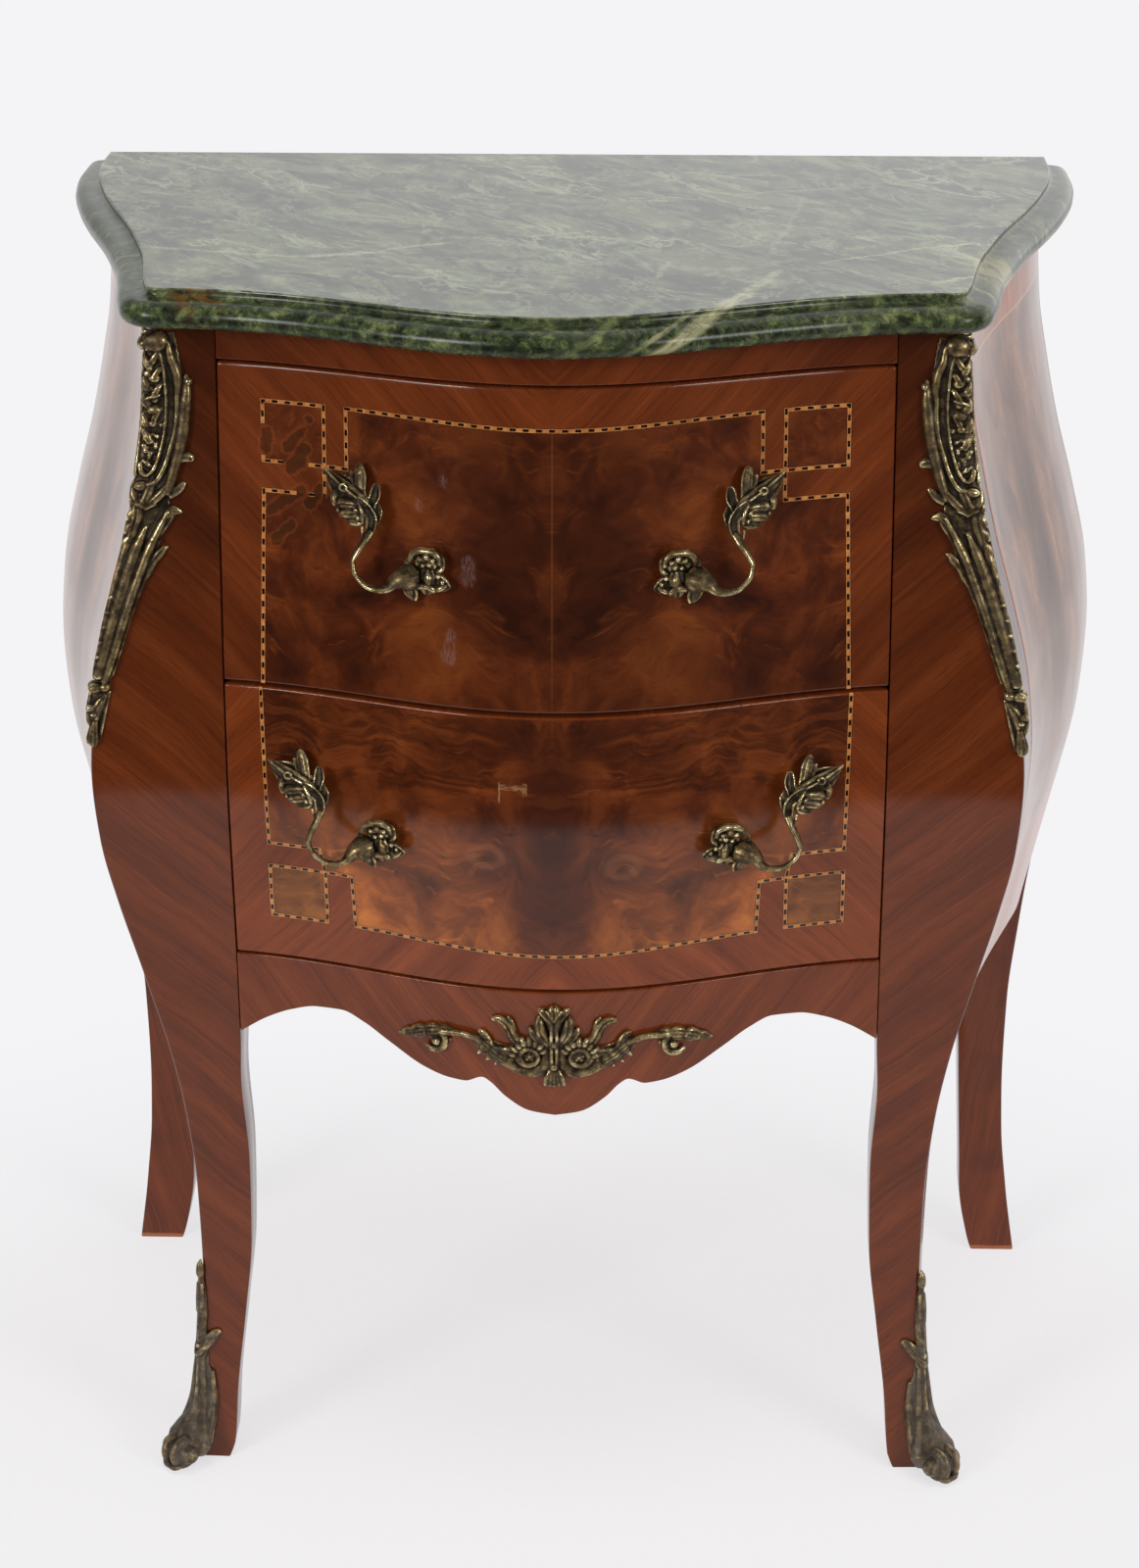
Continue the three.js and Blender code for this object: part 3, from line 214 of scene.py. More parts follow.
# %% Floor sheet
def stage_sheet():
    mesh = bpy.data.meshes.new("floor_sheet")
    far, half, reach = 9.0, 9.0, 1.05
    round_end = [(reach * math.sin(a), -reach * math.cos(a), 0) for a in np.radians(np.linspace(-60, 60, 25))]
    side_y = round_end[0][1]
    outline = [(-half, side_y, 0)] + round_end + [(half, side_y, 0), (half, far, 0), (-half, far, 0)]
    mesh.from_pydata(outline, [], [range(len(outline))])
    sheet = bpy.data.objects.new("floor_sheet", mesh)
    bpy.context.collection.objects.link(sheet)
    paper = Finish("white_paper", Roughness=0.9, Specular_IOR_Level=0.2)
    grain = paper.noise(paper.millimetres(), 6.0, 4.0)
    paper.set(Base_Color=paper.ramp(grain, (0.3, "f6f5f6"), (0.7, "f9f8f9")))
    far_off = paper.away(paper.millimetres(), (0.0, -300.0, 0.0))
    path = paper.add("LightPath").node.outputs
    mirrored = paper.math("MAXIMUM", path["Is Glossy Ray"], path["Is Transmission Ray"])
    seen = paper.math("MAXIMUM", path["Is Camera Ray"], mirrored)
    share = paper.scaled(paper.rise(far_off, 450, 1000), 0.27, 0.73)
    seen = paper.product(seen, share)
    pale = paper.add("Emission", tone("f3f2f4"), 1.01)
    both = paper.add("MixShader", seen, paper.shader.outputs[0], pale)
    paper.tree.links.new(both, paper.tree.nodes["Material Output"].inputs[0])
    mesh.materials.append(paper.material)
    return sheet


floor_sheet = stage_sheet()
print("floor sheet", [round(v, 2) for v in floor_sheet.dimensions])

# %% World
def studio_world():
    world = bpy.data.worlds.new("studio")
    bpy.context.scene.world = world
    world.use_nodes = True
    tree = world.node_tree
    tree.nodes.clear()

    def add(kind, **settings):
        node = tree.nodes.new("ShaderNode" + kind)
        for word, value in settings.items():
            setattr(node, word, value)
        return node

    def link(source, target):
        tree.links.new(source, target)

    direction = add("SeparateXYZ")
    link(add("TexCoord").outputs["Generated"], direction.inputs[0])
    back = add("MapRange", interpolation_type="SMOOTHSTEP")
    link(direction.outputs[1], back.inputs[0])
    for place, value in zip((1, 2, 3, 4), (-0.25, 0.3, 0.06, 1.05)):
        back.inputs[place].default_value = value
    sideways = add("Math", operation="MULTIPLY_ADD")
    link(direction.outputs[0], sideways.inputs[0])
    sideways.inputs[1].default_value, sideways.inputs[2].default_value = 0.8, 1.0
    room = add("Math", operation="MULTIPLY")
    link(back.outputs[0], room.inputs[0])
    link(sideways.outputs[0], room.inputs[1])
    path = add("LightPath")
    camera_sees = add("Mix")
    link(path.outputs["Is Camera Ray"], camera_sees.inputs[0])
    link(room.outputs[0], camera_sees.inputs[2])
    camera_sees.inputs[3].default_value = 0.92
    sharp = add("Math", operation="MAXIMUM")
    link(path.outputs["Is Camera Ray"], sharp.inputs[0])
    link(path.outputs["Is Glossy Ray"], sharp.inputs[1])
    clear = add("Math", operation="MAXIMUM")
    link(sharp.outputs[0], clear.inputs[0])
    link(path.outputs["Is Transmission Ray"], clear.inputs[1])
    strength = add("Mix")
    link(clear.outputs[0], strength.inputs[0])
    strength.inputs[2].default_value = 0.37
    link(camera_sees.outputs[0], strength.inputs[3])
    glow = add("Background")
    glow.inputs[0].default_value = (1.0, 1.0, 1.0, 1.0)
    link(strength.outputs[0], glow.inputs[1])
    link(glow.outputs[0], add("OutputWorld").inputs[0])


studio_world()

# %% Lamps
def lamp(name, place, aim, size, power, mirrored=True):
    light = bpy.data.lights.new(name, "AREA")
    light.size = size
    light.energy = power
    holder = bpy.data.objects.new(name, light)
    holder.location = place
    holder.rotation_euler = (Vector(aim) - Vector(place)).to_track_quat("-Z", "Y").to_euler()
    holder.visible_glossy = mirrored
    bpy.context.collection.objects.link(holder)


lamp("key_lamp", (-3.3, -4.1, 2.1), (0, 0, 0.4), 1.5, 130)
lamp("fill_lamp", (3.7, -3.8, 2.1), (0, 0, 0.4), 1.6, 104)
lamp("top_lamp", (0.2, -1.5, 6.2), (0, 0, 0), 2.6, 110, mirrored=False)

# %% [markdown]
# ## The swelling envelope
# The whole carcase is one swollen form: the front bows like a wave from side to side and bulges from top
# to bottom, and the sides flare towards the back. Each curve is a short table of places and reaches, read
# by a curve that never swings past its rows. Legs, panels, rails and drawers all read the same functions,
# so that their faces run into each other as they do when a maker fairs the whole carcase at once.

# %% Read a table as a curve
def table_curve(rows):
    place, reach = np.array(rows, float).T
    steep = np.diff(reach) / np.diff(place)
    before, after = np.r_[steep[0], steep], np.r_[steep, steep[-1]]
    both = np.where(before * after > 0, before + after, 1)
    slope = np.where(before * after > 0, 2 * before * after / both, 0)

    def read(at):
        at = np.asarray(at, float)
        i = np.clip(np.searchsorted(place, at, side="right") - 1, 0, len(steep) - 1)
        width = place[i + 1] - place[i]
        t = np.clip((at - place[i]) / width, 0, 1)
        ends = np.minimum(at - place[0], 0) * slope[0] + np.maximum(at - place[-1], 0) * slope[-1]
        flat = (2 * t**3 - 3 * t**2 + 1) * reach[i] + (3 * t**2 - 2 * t**3) * reach[i + 1]
        return flat + width * ((t**3 - 2 * t**2 + t) * slope[i] + (t**3 - t**2) * slope[i + 1]) + ends

    return read


belly = table_curve([
    (0, 0.05), (0.066, -0.02), (0.132, -0.08), (0.191, -0.1), (0.264, -0.08), (0.33, 0.02), (0.395, 0.2),
    (0.457, 0.46), (0.527, 0.76), (0.585, 0.945), (0.639, 1), (0.693, 0.93), (0.76, 0.68), (0.817, 0.42),
    (0.87, 0.23), (0.923, 0.08), (1, 0)])
front_bow = table_curve([
    (0, -0.76), (0.053, -0.857), (0.132, -0.905), (0.237, -0.667), (0.33, -0.381), (0.415, 0.048),
    (0.485, 0.286), (0.567, 0.714), (0.646, 1), (0.72, 0.952), (0.817, 0.667), (0.923, 0.238), (1, 0)])
side_flare = table_curve([
    (0, 0), (0.06, 0.03), (0.18, 0.14), (0.3, 0.27), (0.41, 0.42), (0.57, 0.67), (0.705, 0.845),
    (0.84, 0.96), (0.92, 1), (1, 0.995)])
low_flare = table_curve([(0, 0.55), (0.1, 0.9), (0.2, 1), (0.4, 1), (0.46, 0.5), (0.52, 0), (1, 0)])
print("belly at half height:", round(float(belly(0.5)), 3))

# %% The envelope, in millimetres from the slab's front corners
TOP, BACK = 758.7, 352.0
DEPTH_MIDDLE = 142.25
POST_BACK, BACK_POST_FRONT, WIDEST = 62.0, 312.0, 340.2
RAIL_HALF, DRAWER_HALF = 193.7, 193.3
RAIL_HEIGHT, RAIL_DEPTH, APRON_THICK, SIDE_THICK, DRAWER_FRONT_THICK = 23.2, 38, 20, 18, 18
POST_INNER, FRONT_TAPER, ARRIS_EASE = 194, 20, 2.2
BACK_LEG_INNER, BACK_TAPER, BACK_SLIMMING, BACK_KICK = 262, 20, 16, 12
SIDE_LOW, SIDE_ARCH = 285.3, 18.5
APRON_TOP, APRON_LOW, APRON_ARCH = 367.3, 282.0, 55
SLAB_TOP, SLAB_THICK, SLAB_MOULDING = 780, 21, 15.5


def wave(x, half, power):
    return ((1 + np.cos(np.pi * np.minimum(np.abs(x) / half, 1))) / 2) ** power


def front_y(x, z):
    return 18.7 - 21 * front_bow(np.asarray(z) / TOP) - 55 * wave(x, 235, 1.15)


def arris_x(z):
    return 230.5 + 44 * belly(np.asarray(z) / TOP)


def arris_y(z):
    return front_y(arris_x(z), z)


def side_x(y, z):
    reach = 66 + 2.6 * low_flare(np.asarray(z) / TOP)
    return arris_x(z) + reach * side_flare((y - arris_y(z)) / (BACK - arris_y(z)))


print("widest at the belly:", round(float(side_x(BACK, 0.639 * TOP)) * 2), "mm")

# %% [markdown]
# ## Turning points into pieces
# Boards, legs and the slab are all closed skins over rows of points. One function closes a show face
# and a back into a board, one closes a stack of rings into a turned or tapered form, and one makes
# the Blender object, rounds its sharp edges a little as wear does, and tells the frame what the
# piece rides on and replaces.

# %% Skins
def quads(a, b, c, d):
    return np.stack([a, b, c, d], -1).reshape(-1, 4).tolist()


def closed_board(face, back):
    """Points and quads of a board between two grids of points. The first quads are the show face."""
    wide, high = face.shape[:2]
    front, rear = np.arange(wide * high * 2).reshape(2, wide, high)

    def rim(grid):
        return np.concatenate([grid[:, 0], grid[-1, 1:], grid[-2::-1, -1], grid[0, -2::-1]])

    a, b = rim(front), rim(rear)
    faces = quads(front[:-1, :-1], front[1:, :-1], front[1:, 1:], front[:-1, 1:])
    faces += quads(rear[:-1, :-1], rear[:-1, 1:], rear[1:, 1:], rear[1:, :-1])
    faces += quads(a[:-1], b[:-1], b[1:], a[1:])
    return np.concatenate([face.reshape(-1, 3), back.reshape(-1, 3)]), faces


def closed_rings(rings):
    """Points and faces of a form through a stack of rings."""
    levels, count = rings.shape[:2]
    at = np.arange(levels * count).reshape(levels, count)
    after = np.roll(at, -1, axis=1)
    faces = quads(at[:-1], after[:-1], after[1:], at[1:])
    faces += [at[0, ::-1].tolist(), at[-1].tolist()]
    return rings.reshape(-1, 3), faces


# %% Objects
def mirrored(points):
    return np.asarray(points) * (-1, 1, 1)


def make_piece(name, skin, finish, body, slot, nodes=(), regions=None, edge=0.0, sharp=40):
    """Make an object from points and faces. It rides on the body and stands for the solids named in nodes."""
    points, faces = skin
    mesh = bpy.data.meshes.new(name)
    mesh.from_pydata(((np.asarray(points) - (0, DEPTH_MIDDLE, 0)) / 1000).tolist(), [], faces)
    for material in finish if isinstance(finish, (list, tuple)) else [finish]:
        mesh.materials.append(material)
    if regions is not None:
        marks = np.zeros(len(mesh.polygons), dtype=np.int32)
        marks[:len(regions)] = regions
        mesh.polygons.foreach_set("material_index", marks)
    work = bmesh.new()
    work.from_mesh(mesh)
    bmesh.ops.recalc_face_normals(work, faces=work.faces)
    if edge:
        arrises = [e for e in work.edges
                   if len(e.link_faces) == 2 and e.calc_face_angle(0) > math.radians(50)]
        bmesh.ops.bevel(work, geom=arrises, offset=edge / 1000, segments=3, profile=0.5, affect="EDGES",
                        clamp_overlap=True)
    work.to_mesh(mesh)
    work.free()
    mesh.shade_smooth()
    mesh.set_sharp_from_angle(angle=math.radians(sharp))
    piece = bpy.data.objects.new(name, mesh)
    bpy.context.collection.objects.link(piece)
    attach(piece, body)
    if nodes:
        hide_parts(*nodes)
    return piece


def make_pair(name, skin, finish, body, slot, **options):
    """The right-hand piece and its mirror image, each in place of the solid with its name."""
    points, faces = skin
    for side, shape in (("right", points), ("left", mirrored(points))):
        make_piece(f"{name}_{side}_face", (shape, faces), finish, body, slot, nodes=[f"{name}_{side}"],
                   **options)


print("helpers ready")

# %% [markdown]
# ## Lifted varnish
# At the upper left of the front the varnish has blistered and a little veneer is lost. Painting spots by
# hand would tie them to a picture, so each blister is a short line of round spots, and how far inside the
# nearest spot a place lies, broken up by noise, says where wood is lost and where a rim stands up around it.

# %% Lifted varnish
def near_any(f, place, rows):
    """How far inside the nearest round spot (x, z, radius) of the front a place is, with ragged edges."""
    ragged = f.stretched(f.stirred(place, 4, 2.6), (1.0, 0.0, 1.0))
    deepest = -100.0
    for x, z, radius in rows:
        away = f.away(ragged, (x, 0.0, z))
        deepest = f.math("MAXIMUM", deepest, f.math("SUBTRACT", radius, away))
    return deepest


def strokes(*ends):
    """Round spots along lines, each line given by spots (x, z, radius) at its corners."""
    spots = []
    for line in ends:
        line = np.array(line, float)
        share = np.linspace(0, len(line) - 1, max(2, 4 * len(line) - 3))
        spots += [tuple(float(np.interp(s, np.arange(len(line)), line[:, k])) for k in range(3))
                  for s in share]
    return spots


BLISTERS = strokes(
    ((-139.4, 705, 2.4), (-139.4, 705, 2.4)),
    ((-143.7, 698.4, 2), (-148, 693, 2.8), (-152.4, 688.4, 3.2)),
    ((-142.6, 687.6, 3.4), (-146.5, 680.4, 4.6), (-150.6, 676.6, 3.6)),
    ((-164.5, 695, 3.2), (-165.6, 686, 3.4)),
    ((-133, 666.4, 2.4), (-136.6, 661.4, 3), (-140.2, 656, 3.2)),
    ((-144.4, 664.4, 2.8), (-150, 660, 2.8), (-157, 655.4, 3.2), (-163.6, 650.6, 2.8)),
    ((-151, 643.6, 2.8), (-156, 639, 2.4), (-160.4, 633.6, 3.2)))


def blistered(f, wood, height):
    """Darken the spots where varnish and veneer have lifted, redden their rims and sink the height there."""
    flaking = f.scaled(f.noise(f.millimetres(), 3.5, 3), 4.4, -2.4)
    inside = f.math("ADD", near_any(f, f.millimetres(), BLISTERS), flaking)
    lost = f.rise(inside, -0.7, 0.7)
    rim = f.product(f.rise(inside, -2.4, -0.8), f.math("SUBTRACT", 1.0, lost))
    wood = f.tint(wood, "944c20", rim, 0.2)
    wood = f.tint(wood, "3a2212", lost, 0.62)
    f.set(Coat_Weight=f.scaled(lost, -0.55, 1.0))
    return wood, f.total((height, 1.0), (lost, -11.0), (rim, 3.0))


print("round spots in the blisters:", len(BLISTERS))

# %% [markdown]
# ## Striped veneer
# The borders, rails and legs are laid with a straight-grained reddish veneer whose dark lines slant like a
# chevron about the middle. The figure is noise stretched along the slant: wide soft bands, narrow dark
# lines and fine pores, each a layer of its own. Reading the distance from the middle instead of the side
# makes the left half a mirror image of the right, as the maker gets by turning every second leaf over.

# %% Striped veneer
VARNISH = dict(Roughness=0.5, Specular_IOR_Level=0.0, Coat_Weight=1.0, Coat_Roughness=0.15, Coat_IOR=1.4)


def striped_veneer(name, degrees, along_side=False, darker=0.0, low=1.0, high=1.0, worn=None, lost=False,
                   top_edge=None, dark_ends=None):
    """low and high scale the colour near the floor and near the slab, a painted light and shade that changes
    with height.

    worn is a (height, reach) of rubbed wood, top_edge the height of a drawer's upper edge, where the varnish
    has worn thin, and dark_ends the distances from the middle between which a rail is painted darker, a
    painted shade towards the corners.
    """
    f = Finish(name, **VARNISH)
    straight = f.millimetres()
    place = f.stirred(straight, 90, 14)
    x, y, z = f.split(place)
    across = f.math("ABSOLUTE", x)
    if along_side:
        across = f.math("ADD", across, y)
    slant = math.radians(degrees)
    over = f.total((across, -math.sin(slant)), (z, math.cos(slant)))
    along = f.total((across, math.cos(slant)), (z, math.sin(slant)))

    def layer(width, length, detail, seed):
        at = f.join(f.math("DIVIDE", over, width), f.math("DIVIDE", along, length), seed)
        return f.noise(at, 1.0, detail, 0.55)

    bands, lines, pores = layer(13, 170, 2, 1.3), layer(2.2, 130, 3, 4.1), layer(0.6, 14, 2, 7.7)
    wood = f.ramp(bands, (0.3, "59260e"), (0.5, "652d11"), (0.72, "723516"))
    wood = f.tint(wood, "331208", f.rise(lines, 0.55, 0.7), 0.34)
    wood = f.tint(wood, "8a4820", f.rise(lines, 0.45, 0.3), 0.22)
    wood = f.tint(wood, "2a0f07", f.rise(pores, 0.52, 0.72), 0.36)
    clouds = f.noise(straight, 60, 3)
    wood = f.tint(wood, "3c180b", f.rise(clouds, 0.5, 0.75), 0.25 + darker)
    sideways, _, level = f.split(straight)
    # painted light and shade: the colour is scaled with height, from low near the floor to high near the slab
    depth = f.scaled(f.rise(level, 380, 740), high - low, low)
    wood = f.mix(1.0, wood, f.join(depth, depth, depth), "MULTIPLY")
    # painted shade: the rail is painted darker towards its ends at the corners
    if dark_ends:
        ends = f.rise(f.math("ABSOLUTE", sideways), *dark_ends)
        wood = f.tint(wood, "3a170a", ends, 0.36)
    if top_edge:
        f.set(Coat_Weight=f.scaled(f.rise(level, top_edge - 2.2, top_edge - 0.6), -0.8, 1.0))
    if worn:
        rubbed = f.total((f.apart(level, worn[0]), 1.0), (f.noise(place, 9, 3), 1.6))
        wood = f.tint(wood, "a5623a", f.rise(rubbed, worn[1] + 1.3, worn[1] + 0.3), 0.8)
    ripple = f.total((lines, 0.6), (pores, 0.4))
    if lost:
        wood, ripple = blistered(f, wood, ripple)
    return f.set(Base_Color=wood, Normal=f.bump(ripple, 0.03, 0.5))


# the low and high numbers below are painted light and shade by height
VENEER = {
    "rail": striped_veneer("striped_veneer_of_rail", 44, high=0.94, dark_ends=(105, 190)),
    "leg": striped_veneer("striped_veneer_of_leg", 42, low=0.9, high=0.44),
    "apron": striped_veneer("striped_veneer_of_apron", 52, low=1.1),
    "back_leg": striped_veneer("plain_veneer_of_back_leg", 82, along_side=True, darker=0.35, worn=(0, 3.5)),
    "upper_border": striped_veneer("striped_border_of_upper_drawer", 45, low=0.4, high=1.0, lost=True),
    "lower_border": striped_veneer("striped_border_of_lower_drawer", -48, low=1.28, high=0.66, top_edge=546),
}
print("veneers:", ", ".join(VENEER))

# %% [markdown]
# ## Burr veneer
# The middle of both drawers is one sheet of walnut burr, opened like a book at the seam. Its figure has
# no direction: dark clouds, orange flames and small knots. Noise read through stirred coordinates gives
# the flow, and reading the distance from the seam opens the book. A thin pale line marks the joint.

# %% Burr veneer
SCUFFS = strokes(((-47.3, 634, 3.6), (-47.9, 624, 4.2)), ((-58, 591, 3), (-58.6, 584, 3.4), (-59, 577, 4.4)),
                 ((-61.7, 680, 2), (-62, 677, 2)), ((-75.9, 665, 2), (-76, 662, 2)))
KNOTS = ((-38.5, 456.4), (40.6, 450.6))


def burr_veneer():
    f = Finish("book_matched_burr", **VARNISH)
    x, _, z = f.split(f.millimetres())
    aside = f.math("ABSOLUTE", x)
    in_lower, in_upper = f.rise(z, 546.5, 546), f.rise(z, 546, 546.5)
    # the figure swirls towards two knots in each leaf
    leaf = f.join(aside, 0.0, z)
    for knot_x, knot_z, size in ((37.0, 452.0, 26.0), (112.0, 585.0, 20.0)):
        away = f.away(leaf, (knot_x, 0.0, knot_z))
        pull = f.rise(away, size, 0.0)
        swirl = f.join(f.product(pull, size), 0.0, f.product(pull, -size * 0.4))
        leaf = f.moved(leaf, swirl)
    flow = f.stirred(f.stirred(leaf, 62, 60), 22, 16)
    clouds = f.noise(flow, 46, 4, 0.62)
    flames = f.noise(f.stretched(flow, (0.55, 1.0, 1.9)), 24, 6, 0.66, 0.7)
    fibres = f.noise(f.stretched(flow, (0.5, 1.0, 2.2)), 2.6, 4, 0.6)
    wood = f.ramp(clouds, (0.3, "2c1107"), (0.46, "4a1f0c"), (0.6, "673013"), (0.75, "7c4019"))
    wood = f.tint(wood, "944a1b", f.rise(flames, 0.56, 0.74), 0.46)
    wood = f.tint(wood, "1f0b05", f.rise(flames, 0.42, 0.27), 0.6)
    wood = f.tint(wood, "2f1208", f.rise(fibres, 0.5, 0.75), 0.3)
    # darker along the seam, paler and browner towards the lower corners
    shade_x = f.rise(aside, 34, 6)
    shade_z = f.product(f.rise(z, 385, 425), f.rise(z, 560, 490))
    wood = f.tint(wood, "2b110a", shade_x, shade_z, 0.6)
    pale = f.product(f.rise(aside, 16, 62), f.rise(z, 488, 436))
    pale = f.product(pale, f.scaled(f.rise(x, -30, 60), -0.2, 0.95))
    wood = f.mix(pale, wood, (2.7, 3.4, 3.2, 1.0), "MULTIPLY")
    square = f.product(f.rise(aside, 126, 130), f.rise(z, 440, 436))
    wood = f.mix(square, wood, (0.72, 0.86, 0.88, 1.0), "MULTIPLY")
    # two pale-ringed knots on the lower drawer
    for knot_x, knot_z in KNOTS:
        off = f.join(f.product(f.math("SUBTRACT", x, knot_x), 0.72), 0.0, f.math("SUBTRACT", z, knot_z))
        away = f.math("ADD", f.away(off, (0.0, 0.0, 0.0)), f.scaled(flames, 9.0, -3.0))
        wood = f.tint(wood, "8a5a40", f.rise(away, 4.5, 7.5), f.rise(away, 11.5, 8.5), 0.2)
        wood = f.tint(wood, "3a2018", f.rise(away, 8.5, 12), f.rise(away, 19, 13), 0.22)
        wood = f.tint(wood, "33201a", f.rise(away, 5.2, 2.8), 0.6)
    # wavy dark figure across the lower drawer's upper half
    wavy = f.noise(f.stretched(flow, (0.3, 1.0, 2.4)), 13, 3, 0.55, 0.6)
    where = f.product(f.rise(aside, 15, 45), f.rise(z, 480, 505), in_lower)
    wood = f.tint(wood, "2c1006", f.rise(wavy, 0.47, 0.62), where, 0.5)
    wood = f.tint(wood, "8a451b", f.rise(wavy, 0.45, 0.34), where, 0.2)
    # painted shade: the upper drawer is darker in its middle under the slab's overhang, and each drawer is
    # darker on both sides of the gap between them
    wood = f.tint(wood, "250e06", f.rise(aside, 100, 30), f.rise(z, 560, 600), 0.4)
    wood = f.tint(wood, "2a1007", f.rise(z, 618, 575), in_upper, f.scaled(f.rise(x, -60, 60), 0.12, 0.2))
    wood = f.tint(wood, "2a1007", f.rise(z, 500, 530), in_lower, 0.22)
    # scuffs, a worn patch left of the seam, a scratch beside it and the glue line of the seam
    scuffed = f.rise(near_any(f, f.millimetres(), SCUFFS), -1.5, 1.5)
    dashes = f.noise(f.join(f.product(x, 1.5), 0.0, f.product(z, 0.3)), 1.6, 2, 0.6)
    wood = f.tint(wood, "8a6f68", f.rise(dashes, 0.35, 0.65), scuffed, 0.3)
    worn_x = f.math("ADD", x, f.product(fibres, 2.0))
    wide = f.product(f.rise(f.apart(worn_x, -21.6), 8.4, 7.4), f.rise(f.apart(z, 502.2), 2.2, 1.2))
    tall = f.product(f.rise(f.apart(worn_x, -14.8), 1.8, 1.0), f.rise(f.apart(z, 501.2), 4.4, 3.0))
    wood = f.tint(wood, "967048", f.math("MAXIMUM", wide, tall), f.rise(fibres, 0.35, 0.62), 0.6)
    scratch = f.product(f.rise(f.apart(worn_x, -29.6), 0.7, 0.25), f.rise(f.apart(z, 499.0), 7.0, 5.0))
    wood = f.tint(wood, "a08058", scratch, 0.45)
    wood = f.tint(wood, "8a5a34", f.rise(aside, 0.7, 0.3), f.rise(z, 500, 620), 0.16)
    wood, height = blistered(f, wood, f.total((fibres, 0.6), (flames, 0.4)))
    return f.set(Base_Color=wood, Normal=f.bump(height, 0.04, 0.5))


BURR = burr_veneer()


def side_veneer():
    """The sides: upright burr between lighter cross-cut bands, with a thin pale line at each joint."""
    f = Finish("burr_and_bands_of_side", **{**VARNISH, "Coat_IOR": 1.5})
    _, y, z = f.split(f.millimetres())
    flow = f.stirred(f.stirred(f.join(0.0, y, f.product(z, 0.45)), 44, 34), 12, 7)
    flames, fibres = f.noise(flow, 21, 5, 0.62, 0.4), f.noise(flow, 3, 4, 0.6)
    field = f.ramp(flames, (0.3, "43200f"), (0.44, "734529"), (0.58, "915d3c"), (0.72, "ab764f"))
    field = f.tint(field, "4a2a20", f.rise(fibres, 0.5, 0.72), 0.35)
    away = f.away(f.join(f.apart(y, 24.0), 0.0, f.product(z, 0.14)), (9.0, 0.0, 80.0))
    dark = f.rise(f.total((away, 1.0), (flames, -34.0)), 2, -12)
    field = f.tint(field, "2a120b", dark, 0.6)
    bands = f.noise(f.join(0.0, f.product(y, 0.9), f.product(z, 0.14)), 7, 4, 0.6)
    band = f.ramp(bands, (0.35, "8a4628"), (0.55, "a85d38"), (0.7, "bd7347"))
    edge = f.math("MINIMUM", f.math("SUBTRACT", 722.0, z), f.math("SUBTRACT", z, 398.0))
    upright = f.math("ADD", y, 73.0)
    wood = f.mix(f.rise(f.math("MINIMUM", edge, upright), -0.3, 0.3), band, field)
    joint = f.rise(f.math("ABSOLUTE", edge), 0.9, 0.5)
    wood = f.tint(wood, "c99a6c", joint, f.rise(upright, -0.5, 0.5), 0.7)
    return f.set(Base_Color=wood, Normal=f.bump(fibres, 0.03, 0.5))


VENEER["side"] = side_veneer()
print("finishes ready:", BURR.name, "and", VENEER["side"].name)

# %% [markdown]
# ## Legs
# Each leg is one length of wood from the floor to the slab, veneered on its two show faces, with a
# toe that swings out. A box would miss the double curve, so the leg is a stack of horizontal outlines
# that read the envelope at their own height, with the outer arris rounded as the real one is.

# %% Front legs
FOOT_LEVELS = np.r_[np.linspace(0, 30, 7), np.linspace(36, TOP, 112)]
front_foot = table_curve([(0, 0.97), (0.0145, 0.78), (0.066, 0.635), (0.138, 0.3), (0.211, 0), (0.288, -0.06),
                          (0.361, 0.07), (0.411, 0), (1, 0)])


def front_leg_ring(z):
    inner = POST_INNER + FRONT_TAPER * float(front_foot(z / TOP))
    corner, corner_y = float(arris_x(z)), float(arris_y(z))
    xs = np.linspace(inner, corner - ARRIS_EASE, 13)
    face = np.stack([xs, front_y(xs, z)], 1)
    ys = np.linspace(corner_y + ARRIS_EASE, POST_BACK, 9)
    side = np.stack([side_x(ys, z), ys], 1)
    t = np.array([0.25, 0.5, 0.75])[:, None]
    turn = (1 - t)**2 * face[-1] + 2 * t * (1 - t) * np.array([corner, corner_y]) + t**2 * side[0]
    flat = np.concatenate([face, turn, side, [[inner, POST_BACK]]])
    return np.c_[flat, np.full(len(flat), z)]


make_pair("front_leg", closed_rings(np.array([front_leg_ring(z) for z in FOOT_LEVELS])), VENEER["leg"],
          "carcase", "veneer", edge=1.0)

# %% Back legs
back_kick = table_curve([(0, 1), (0.066, 0.6), (0.132, 0.37), (0.2, 0.32), (0.33, 0.35), (0.4, 0.17),
                         (0.46, 0), (1, 0)])
back_foot = table_curve([(0, 1), (0.013, 0.85), (0.066, 0.5), (0.094, 0.46), (0.19, 0.3), (0.395, 0), (1, 0)])
back_slimming = table_curve([(0, 1), (0.13, 0.72), (0.2, 0.6), (0.33, 0.3), (0.41, 0), (1, 0)])


def back_leg_ring(z):
    share = z / TOP
    inner = BACK_LEG_INNER + BACK_TAPER * float(back_foot(share))
    front = BACK_POST_FRONT + BACK_SLIMMING * float(back_slimming(share))
    ys = np.linspace(front, BACK, 9)
    outer = np.stack([np.minimum(side_x(ys, z) + BACK_KICK * back_kick(share), WIDEST), ys], 1)
    xs = np.linspace(inner, outer[0, 0], 5)[:-1]
    flat = np.concatenate([np.stack([xs, np.full(4, front)], 1), outer, [[inner, BACK]]])
    return np.c_[flat, np.full(len(flat), z)]


make_pair("back_leg", closed_rings(np.array([back_leg_ring(z) for z in FOOT_LEVELS])), VENEER["back_leg"],
          "carcase", "veneer", edge=1.2)
print("legs made")

# %% [markdown]
# ## Side panels, rail and apron
# The sides are thick boards sawn to the envelope and veneered, with a shallow arch for a lower edge between
# the legs. The top rail and the apron follow the wave of the front; the apron drops to a point in the
# middle. Each is a grid whose columns run along the board and whose rows rise from its shaped lower edge.

